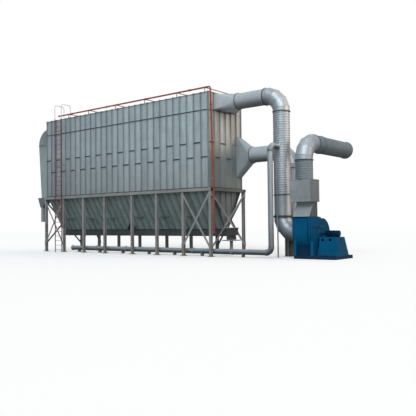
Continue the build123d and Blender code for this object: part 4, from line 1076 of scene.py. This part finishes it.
class DUSTCOLLECTOR_OT_fan_trim(bpy.types.Operator):
    """Add the fan's stiffeners, aprons, front flange, bearing plate, bolts and outlet gasket"""

    bl_idname = "dust_collector.fan_trim"
    bl_label = "Fan Trim"

    def execute(self, context):
        low, high = BOX["fan_casing"]
        eye = middle("fan_inlet")
        self.plates(low, high, eye)
        self.front_flange(low, high)
        self.bolted(low, high, eye)
        self.gasket()
        return {"FINISHED"}

    def plates(self, low, high, eye):
        """Stiffeners on the casing's sides, aprons below it and a web behind the pedestal's hand holes."""
        half_height, half_thickness = 0.02, 0.006
        ribs = []
        for way, face in zip(SIGNS, (low[0], high[0])):
            for level, start, end in ((1.52, 0.60, 2.16), (0.62, 0.85, 2.10)):
                centre = (face + way * half_height, (start + end) / 2, level)
                ribs.append(blocks(centre, X * half_height, Y * (end - start) / 2, Z * half_thickness))
        build("fan_stiffeners", "fan_blue", *ribs)
        # The aprons close the stand under the scroll in the dark motor enamel, which is partly painted shade
        # there.
        half_sheet, side_clear, front_clear, eye_clear = 0.004, 0.03, 0.30, 0.35
        bottom, top = BOX["fan_base"][1][2], eye[2] - eye_clear
        level, upright_half = (bottom + top) / 2, Z * (top - bottom) / 2
        front_half = X * ((high[0] - low[0]) / 2 - side_clear)
        side_half = Y * (eye[1] - low[1] - front_clear)
        front = ((low[0] + high[0]) / 2, low[1] + front_clear, level)
        side = (high[0] - side_clear, eye[1], level)
        build(
            "fan_apron",
            "motor_paint",
            blocks(front, front_half, Y * half_sheet, upright_half),
            blocks(side, X * half_sheet, side_half, upright_half),
        )
        span = extent("fan_pedestal")
        web = blocks(middle("fan_pedestal"), X * span[0] * 0.36, Y * half_sheet, Z * span[2] * 0.44)
        build("pedestal_web", "motor_paint", web)

    def front_flange(self, low, high):
        """Flange and seam down the casing's front and round the start of its scroll."""
        scroll_radius, scroll_level, scroll_turn, steps = 0.96, 1.29, 48, 17
        edge_clear, top_clear, seam_gap = 0.14, 0.03, 0.075
        turn = np.radians(np.linspace(scroll_turn, 0, steps))[:, None]
        outward = -np.cos(turn) * Y - np.sin(turn) * Z
        hub = np.array((high[0] - edge_clear, low[1] + scroll_radius, scroll_level))
        top = np.array((hub[0], low[1], high[2] - top_clear))
        front = np.concatenate((hub + scroll_radius * outward, top[None]))
        outward = np.concatenate((outward, -Y[None]))
        build("casing_flange", "fan_blue", strap(front, outward, 0.05, 0.012))
        build("casing_seam", "motor_paint", strap(front - X * seam_gap, outward, 0.020, 0.006))

    def bolted(self, low, high, eye):
        """Bearing plate with its bolts, and the bolts of the inlet, the casing's lips and the outlet."""
        plate_radius, half_plate, segments, circle = 0.40, 0.006, 64, 0.37
        head, lip_head = (0.011, 0.010), (0.010, 0.009)
        shaft = np.array((high[0], eye[1], eye[2]))
        plate = lathe(shaft + X * half_plate, X, band(0.0, plate_radius, half_plate), segments)
        build("bearing_plate", "fan_blue", plate)
        turn = around(20)
        ring = np.cos(turn) * Y + np.sin(turn) * Z
        inlet_circle = extent("fan_inlet")[1] / 2 - 0.018
        inlet = np.array((BOX["fan_inlet"][1][0] - 0.008, eye[1], eye[2]))
        bolts = [
            studs(shaft + X * 2 * half_plate + circle * ring, X, *head),
            studs(inlet + inlet_circle * ring, -X, *head),
        ]
        lip_in, lip_back, lip_foot, lip_clear, lip_pitch = 0.014, 0.017, 1.2, 0.06, 0.14
        levels = spread(low[2] + lip_foot, high[2] - lip_clear, lip_pitch)
        for face, out in ((low[0] + lip_in, X), (high[0] - lip_in, -X)):
            bolts.append(studs(lattice([face], [low[1] + lip_back], levels), out, *lip_head))
        edge, corner, pitch, lift = 0.02, 0.05, 0.13, 0.010
        flange_low, flange_high = BOX["fan_outlet"]
        rows = [spread(flange_low[axis] + corner, flange_high[axis] - corner, pitch) for axis in (0, 1)]
        edges = [(flange_low[axis] + edge, flange_high[axis] - edge) for axis in (0, 1)]
        level = [flange_low[2] + lift]
        bolts.append(studs(lattice(rows[0], edges[1], level), Z, *head))
        bolts.append(studs(lattice(edges[0], rows[1], level), Z, *head))
        build("fan_bolts", "support_steel", *bolts)

    def gasket(self):
        """Four strips round the outlet's lower flange."""
        proud, half_thickness, half_height = 0.002, 0.006, 0.018
        half = extent("fan_outlet") / 2 + proud
        foot = middle("fan_outlet")
        foot[2] = BOX["fan_outlet"][0][2]
        strips = []
        for way in SIGNS:
            half_edges = (X * half_thickness, Y * half[1], Z * half_height)
            strips.append(blocks(foot + way * half * X, *half_edges))
        for way in SIGNS:
            half_edges = (X * (half[0] + half_thickness), Y * half_thickness, Z * half_height)
            strips.append(blocks(foot + way * half * Y, *half_edges))
        build("outlet_gasket", "motor_paint", *strips)


class DUSTCOLLECTOR_OT_silencer_trim(bpy.types.Operator):
    """Add the silencer's corner angles and rivets"""

    bl_idname = "dust_collector.silencer_trim"
    bl_label = "Silencer Trim"

    def execute(self, context):
        skin, end_clear, lift, half_sheet = 0.010, 0.04, 0.0015, 0.002
        leaf_middle, half_leaf, rivet_in = 0.020, 0.0215, 0.022
        rivet_clear, rivet_pitch, rivet = 0.09, 0.10, (0.006, 0.004, 8)
        low, high = BOX["silencer"]
        levels = spread(low[2] + rivet_clear, high[2] - rivet_clear, rivet_pitch)
        half = extent("silencer") / 2
        angles, rivets = [], []
        for end_x in (0, 1):
            for end_y in (0, 1):
                outs = (SIGNS[end_x] * X, SIGNS[end_y] * Y)
                corner = middle("silencer") + (half[0] - skin) * outs[0] + (half[1] - skin) * outs[1]
                for leaf, out in (outs, outs[::-1]):
                    face = corner + out * lift
                    half_edges = (leaf * half_leaf, out * half_sheet, Z * (half[2] - end_clear))
                    angles.append(blocks(face - leaf * leaf_middle, *half_edges))
                    heads = (face + out * half_sheet - leaf * rivet_in) * (1, 1, 0) + levels[:, None] * Z
                    rivets.append(studs(heads, out, *rivet))
        build("silencer_angles", "silencer_grey", *angles)
        build("silencer_rivets", "support_steel", *rivets)
        return {"FINISHED"}


class DUSTCOLLECTOR_OT_fire_fittings(bpy.types.Operator):
    """Add the couplings, clips and caps of the fire pipes"""

    bl_idname = "dust_collector.fire_fittings"
    bl_label = "Fire Pipe Fittings"

    def execute(self, context):
        start_clear, end_clear, joint_pitch, foot_joint, lean_joints = 1.4, 1.2, 2.9, 3.0, (0.45, 0.82)
        grip_thickness, half_grip, grip_taper, sides = 0.016, 0.045, 0.005, 28
        cap_proud, cap_in, half_cap = 0.010, 0.023, 0.027
        clip_clear, clip_leg, clip_wire, clip_step, new_branch = 0.006, 0.02, 0.006, 0.05, 0.2
        main_low, main_high = BOX["fire_main"]
        riser_low, riser_high = BOX["fire_riser"]
        radius = (main_high[2] - main_low[2]) / 2
        row, level = main_low[1] + radius, main_high[2] - radius
        foot_x = riser_high[0] - (riser_high[1] - riser_low[1]) / 2
        top_x = BOX["right_wall"][1][0] + foot_x - BOX["end_beams"][1][0]
        bend = np.array((foot_x, row, BOX["right_wall"][0][2]))
        lean = np.array((top_x, row, level)) - bend
        joints = spread(main_low[0] + start_clear, main_high[0] - end_clear, joint_pitch)
        grip = band(radius, radius + grip_thickness, half_grip, grip_taper)
        build(
            "fire_couplings",
            "fire_red",
            lathe(lattice(joints, [row], [level]), X, grip, sides),
            lathe((foot_x, row, foot_joint), Z, grip, sides),
            lathe(bend + np.array(lean_joints)[:, None] * lean, lean / np.linalg.norm(lean), grip, sides),
            lathe((main_low[0] + cap_in, row, level), X, band(0.0, radius + cap_proud, half_cap), sides),
            rounded=True,
        )
        edges = corners_along("fire_branches", 0)
        starts = edges[np.concatenate(([True], np.diff(edges) > new_branch))]
        places = lattice(starts + extent("fire_branches")[2] / 2 + clip_step, [row], [level])
        clips = hoops(places, Y, radius + clip_clear, radius + clip_leg, clip_wire)
        build("fire_clips", "support_steel", clips)
        return {"FINISHED"}


class DUSTCOLLECTOR_OT_pipe_couplings(bpy.types.Operator):
    """Add the couplings and their lugs along the conveying pipe"""

    bl_idname = "dust_collector.pipe_couplings"
    bl_label = "Pipe Couplings"

    def execute(self, context):
        flange_width, start_clear, end_clear, joint_pitch = 0.025, 2.4, 2.1, 2.5
        thickness, half_band, taper, segments = 0.012, 0.07, 0.008, 40
        lug_out, lug_up, half_lug = 0.018, 0.02, (X * 0.05, Y * 0.004, Z * 0.018)
        low, high = BOX["conveying_pipe"]
        radius = (high[1] - low[1]) / 2 - flange_width
        row, level = middle("conveying_pipe")[1:]
        joints = spread(low[0] + start_clear, high[0] - end_clear, joint_pitch)
        profile = band(radius, radius + thickness, half_band, taper)
        bands = lathe(lattice(joints, [row], [level]), X, profile, segments)
        build("pipe_bands", "support_steel", bands, rounded=True)
        lugs = lattice(joints, [row - lug_out, row + lug_out], [level + radius + lug_up])
        build("pipe_lugs", "support_steel", blocks(lugs, *half_lug))
        return {"FINISHED"}


class DUSTCOLLECTOR_OT_leg_trim(bpy.types.Operator):
    """Add the hose rings of the leg's spout"""

    bl_idname = "dust_collector.leg_trim"
    bl_label = "Leg Trim"

    def execute(self, context):
        collar, end_clear, ring_pitch, ring, segments = 0.045, 0.05, 0.055, 0.012, 32
        low, high = BOX["leg_spout"]
        centre = middle("leg_spout")
        radius = extent("leg_spout")[0] / 2 - collar
        levels = spread(low[2] + end_clear, high[2] - end_clear, ring_pitch)
        places = lattice([centre[0]], [centre[1]], levels)
        rings = bead_rings(places, X * radius, Y * radius, ring, segments)
        build("spout_rings", "galvanised_panel", rings, rounded=True)
        return {"FINISHED"}


class DUSTCOLLECTOR_OT_conveyor_trim(bpy.types.Operator):
    """Add the flange bolts and straps of the troughs and the lids of the discharge head and valve"""

    bl_idname = "dust_collector.conveyor_trim"
    bl_label = "Conveyor Trim"

    def execute(self, context):
        half_gap, end_clear, bolt_pitch, bolt_in, bolt = 0.5, 0.2, 0.25, 0.018, (0.010, 0.010)
        low, high = BOX["screw_troughs"]
        mid, half = middle("screw_troughs"), extent("screw_troughs") / 2
        spans = ((low[0] + end_clear, mid[0] - half_gap), (mid[0] + half_gap, high[0] - end_clear))
        edges = [mid[1] - half[1] + bolt_in, mid[1] + half[1] - bolt_in]
        level = [high[2] - bolt[1]]
        bolts = [studs(lattice(spread(*span, bolt_pitch), edges, level), -Z, *bolt) for span in spans]
        build("trough_bolts", "support_steel", *bolts)
        flange_width, strap_lift, strap_drop, strap_pitch = 0.040, 0.004, 0.005, 1.0
        half_strap = (X * 0.025, Y * 0.005, Z * (half[2] - 0.012))
        straps = []
        for way in SIGNS:
            face = mid[1] + way * (half[1] - flange_width + strap_lift)
            for start, end in spans:
                places = lattice(spread(start + 0.5, end - 0.4, strap_pitch), [face], [mid[2] - strap_drop])
                straps.append(blocks(places, *half_strap))
        build("trough_straps", "conveyor_grey", *straps)
        lids = []
        for solid, end, lift, half_lid in (
            ("discharge_head", 1, 0.012, 0.012),
            ("rotary_valve", 0, 0.03, 0.024),
        ):
            centre = middle(solid)
            centre[2] = BOX[solid][end][2] + lift
            half_x, half_y = extent(solid)[:2] / 2
            lids.append(blocks(centre, X * half_x, Y * half_y, Z * half_lid))
        build("head_lids", "conveyor_grey", *lids, look=bpy.data.materials["pale_zinc"])
        return {"FINISHED"}


class DUSTCOLLECTOR_OT_saddle(bpy.types.Operator):
    """Close the gap between the two troughs with saddle plates and edge the gables"""

    bl_idname = "dust_collector.saddle"
    bl_label = "Saddle Plates"

    def execute(self, context):
        same_level, same_x, near_middle = 0.02, 0.01, 1.5
        places = corners("hopper_front")
        mid, rear = middle("hopper_front")[0], 2 * middle("hopper_ends")[1]
        low = BOX["hopper_front"][0][2]
        ridge = places[np.abs(places[:, 0] - mid) < same_x]
        foot = places[(places[:, 2] < low + same_level) & (np.abs(places[:, 0] - mid) < near_middle)]
        top = ridge[:, 2].min()
        toe = np.array((np.abs(foot[:, 0] - mid).min(), foot[:, 1].min(), low))
        peak = np.array((mid, ridge[ridge[:, 2] < top + same_level][:, 1].min(), top))
        self.saddle_plates(peak, toe, rear)
        self.gable_edges(toe, rear, context.scene.collector_sizes.gable_edge)
        return {"FINISHED"}

    def mirrored(self, outline, rear):
        """Outline on the other side of the plant's middle plane, turned so that it still faces out."""
        return (outline * (1, -1, 1) + rear * Y)[::-1]

    def saddle_plates(self, peak, toe, rear):
        """Two sloped plates under the saddle, and front and rear covers over its notch and its link; their
        dark trough paint is partly painted shade in the notch.
        """
        half_sheet, lift, cover = 0.004, 0.006, 0.006
        mid, front, top = peak
        reach, foot_y, low = toe
        rise = top - low
        half_length = math.hypot(reach, rise) / 2
        plates = []
        for way in SIGNS:
            along = np.array((-way * reach, 0.0, rise)) / 2
            square = np.array((way * rise, 0.0, reach)) / (2 * half_length)
            centre = np.array((mid + way * reach / 2, rear / 2, low + rise / 2)) + square * lift
            plates.append(blocks(centre, along, Y * (rear / 2 - front), square * half_sheet))
        notch = np.array(((mid - reach, foot_y, low), peak, (mid + reach, foot_y, low)))
        ends = np.abs(corners_along("screw_troughs", 0) - mid)
        trough, bottom = ends[ends < 1.0].max(), BOX["screw_troughs"][0][2]
        link = np.array(((mid - trough, foot_y, bottom), notch[0], notch[2], (mid + trough, foot_y, bottom)))
        slope = np.cross(notch[1] - notch[0], notch[2] - notch[0])
        for outline, way in ((notch, slope / np.linalg.norm(slope)), (link, Y)):
            plates.append(prisms(outline[None], way * cover))
            plates.append(prisms(self.mirrored(outline, rear)[None], way * (1, -1, 1) * cover))
        build("saddle_plates", "conveyor_grey", *plates)

    def gable_edges(self, toe, rear, width):
        """Dark strips down both slopes of the two gables: edge angles whose dark paint is partly painted
        shadow along the edges.
        """
        thickness = 0.008
        _, foot_y, low = toe
        high_y, high_z = BOX["hopper_front"][0][1], BOX["hopper_front"][1][2]
        upper = ((high_y, high_z), (high_y + width, high_z))
        strip = np.array((*upper, (foot_y + width / 3, low), (foot_y, low)))
        strips = []
        for way, box_end in zip(SIGNS, BOX["hopper_ends"]):
            front_edge = np.column_stack((np.full(4, box_end[0]), strip))
            edges = np.stack((front_edge, self.mirrored(front_edge, rear)))[:, ::-way]
            strips.append(prisms(edges, way * X * thickness))
        build("gable_edges", "conveyor_grey", *strips)


class DUSTCOLLECTOR_OT_stage(bpy.types.Operator):
    """Set the pale floor, the soft lights and the camera"""

    bl_idname = "dust_collector.stage"
    bl_label = "Stage"

    def execute(self, context):
        stage = context.scene.collector_stage
        self.lay_floor(context.scene, stage)
        self.light_sky(context.scene, stage)
        self.hang_lamps(context.scene, stage)
        self.aim_camera(context.scene, stage)
        context.scene.view_settings.view_transform = "Standard"
        return {"FINISHED"}

    def lay_floor(self, scene, stage):
        """Flat disc just under the base plates, pale to the eye and darker to bounced light."""
        centre, sides, seen_glow = (10.0, 2.0, -0.002), 96, 0.30
        bounced, pale, white = (0.22, 0.22, 0.21, 1), (0.93, 0.93, 0.93, 1), (1, 1, 1, 1)
        material = bpy.data.materials.new("pale_floor")
        material.use_nodes = True
        tree = material.node_tree
        shader = tree.nodes["Principled BSDF"]
        shader.inputs["Roughness"].default_value = 0.95
        shader.inputs["Emission Color"].default_value = white
        seen = node(tree, "LightPath").outputs["Is Camera Ray"]
        tree.links.new(mixed(tree, seen, bounced, pale), shader.inputs["Base Color"])
        tree.links.new(ranged(tree, seen, 0.0, 1.0, 0.0, seen_glow), shader.inputs["Emission Strength"])
        turn = around(sides)
        rim = stage.floor_radius * (np.cos(turn) * X + np.sin(turn) * Y) + centre
        mesh = bpy.data.meshes.new("floor")
        mesh.from_pydata(rim.tolist(), [], [list(range(sides))])
        mesh.materials.append(material)
        floor = bpy.data.objects.new("floor", mesh)
        scene.collection.objects.link(floor)

    def light_sky(self, scene, stage):
        """White sky whose light is warmer and stronger at the fan's end."""
        sunny_way, weakest, strongest = (0.88, 0.42, 0.22), 0.55, 1.55
        cool, warm, white = (0.80, 0.92, 1.0, 1), (1.0, 0.94, 0.88, 1), (1, 1, 1, 1)
        world = bpy.data.worlds.new("sky")
        world.use_nodes = True
        scene.world = world
        tree = world.node_tree
        background = tree.nodes["Background"]
        seen = node(tree, "LightPath").outputs["Is Camera Ray"]
        way = node(tree, "TexCoord").outputs["Generated"]
        share = ranged(tree, along_way(tree, way, sunny_way), -0.9, 0.9)
        tree.links.new(mixed(tree, seen, mixed(tree, share, cool, warm), white), background.inputs["Color"])
        glow = reckon(tree, "MULTIPLY", ranged(tree, share, 0.0, 1.0, weakest, strongest), stage.sky)
        unseen = reckon(tree, "MULTIPLY", reckon(tree, "SUBTRACT", 1.0, seen), glow)
        tree.links.new(reckon(tree, "ADD", unseen, seen), background.inputs["Strength"])

    def hang_lamps(self, scene, stage):
        """Wide cool key from the front and a low warm rim from the fan's end."""
        for name, colour, strength, spread_angle, towards in (
            ("key", (0.92, 0.97, 1.0), stage.key, 0.9, (-0.30, 0.70, -0.65)),
            ("rim", (1.0, 0.88, 0.79), stage.rim, 0.5, (-0.90, -0.36, -0.28)),
        ):
            lamp = bpy.data.lights.new(name, "SUN")
            lamp.energy = strength
            lamp.color = colour
            lamp.angle = spread_angle
            holder = bpy.data.objects.new(name, lamp)
            scene.collection.objects.link(holder)
            back = -np.array(towards) / np.linalg.norm(towards)
            side, up = across(back[None])
            holder.matrix_world = Matrix(np.stack((side[0], up[0], back), 1).tolist()).to_4x4()

    def aim_camera(self, scene, stage):
        """Camera at the eye, turned about the upright, tilted and rolled."""
        lens = bpy.data.cameras.new("camera")
        lens.sensor_width = 36.0
        lens.sensor_fit = "HORIZONTAL"
        lens.lens = stage.lens
        lens.clip_end = 600.0
        camera = bpy.data.objects.new("camera", lens)
        scene.collection.objects.link(camera)
        camera.matrix_world = (
            Matrix.Translation(stage.eye)
            @ Matrix.Rotation(stage.yaw, 4, "Z")
            @ Matrix.Rotation(math.pi / 2 + stage.pitch, 4, "X")
            @ Matrix.Rotation(stage.roll, 4, "Z")
        )
        scene.camera = camera


STEPS = (
    DUSTCOLLECTOR_OT_finishes,
    DUSTCOLLECTOR_OT_panel_bolts,
    DUSTCOLLECTOR_OT_joint_shadow_strips,
    DUSTCOLLECTOR_OT_duct_ribs,
    DUSTCOLLECTOR_OT_bend_beads,
    DUSTCOLLECTOR_OT_flange_bolts,
    DUSTCOLLECTOR_OT_frame_fixings,
    DUSTCOLLECTOR_OT_fan_trim,
    DUSTCOLLECTOR_OT_silencer_trim,
    DUSTCOLLECTOR_OT_fire_fittings,
    DUSTCOLLECTOR_OT_pipe_couplings,
    DUSTCOLLECTOR_OT_leg_trim,
    DUSTCOLLECTOR_OT_conveyor_trim,
    DUSTCOLLECTOR_OT_saddle,
    DUSTCOLLECTOR_OT_stage,
)
VALUES = {
    "collector_sizes": CollectorSizes,
    "collector_finishes": CollectorFinishes,
    "collector_stage": CollectorStage,
}


class DUSTCOLLECTOR_PT_panel(bpy.types.Panel):
    """Steps that dress the dust collector"""

    bl_label = "Dust Collector"
    bl_space_type = "VIEW_3D"
    bl_region_type = "UI"
    bl_category = "Dust Collector"

    def draw(self, context):
        for step in STEPS:
            self.layout.operator(step.bl_idname)
        for group in VALUES:
            values = getattr(context.scene, group)
            column = self.layout.column()
            for key in values.__annotations__:
                column.prop(values, key)


CLASSES = (*VALUES.values(), *STEPS, DUSTCOLLECTOR_PT_panel)


def register():
    for kind in CLASSES:
        bpy.utils.register_class(kind)
    for group, kind in VALUES.items():
        setattr(bpy.types.Scene, group, PointerProperty(type=kind))


def unregister():
    for group in VALUES:
        delattr(bpy.types.Scene, group)
    for kind in reversed(CLASSES):
        bpy.utils.unregister_class(kind)


def main():
    """Registers the classes and runs every step in order."""
    register()
    steps = bpy.ops.dust_collector
    steps.finishes()
    steps.panel_bolts()
    steps.joint_seals()
    steps.duct_ribs()
    steps.bend_beads()
    steps.flange_bolts()
    steps.frame_fixings()
    steps.fan_trim()
    steps.silencer_trim()
    steps.fire_fittings()
    steps.pipe_couplings()
    steps.leg_trim()
    steps.conveyor_trim()
    steps.saddle()
    steps.stage()


if __name__ == "__main__":
    main()
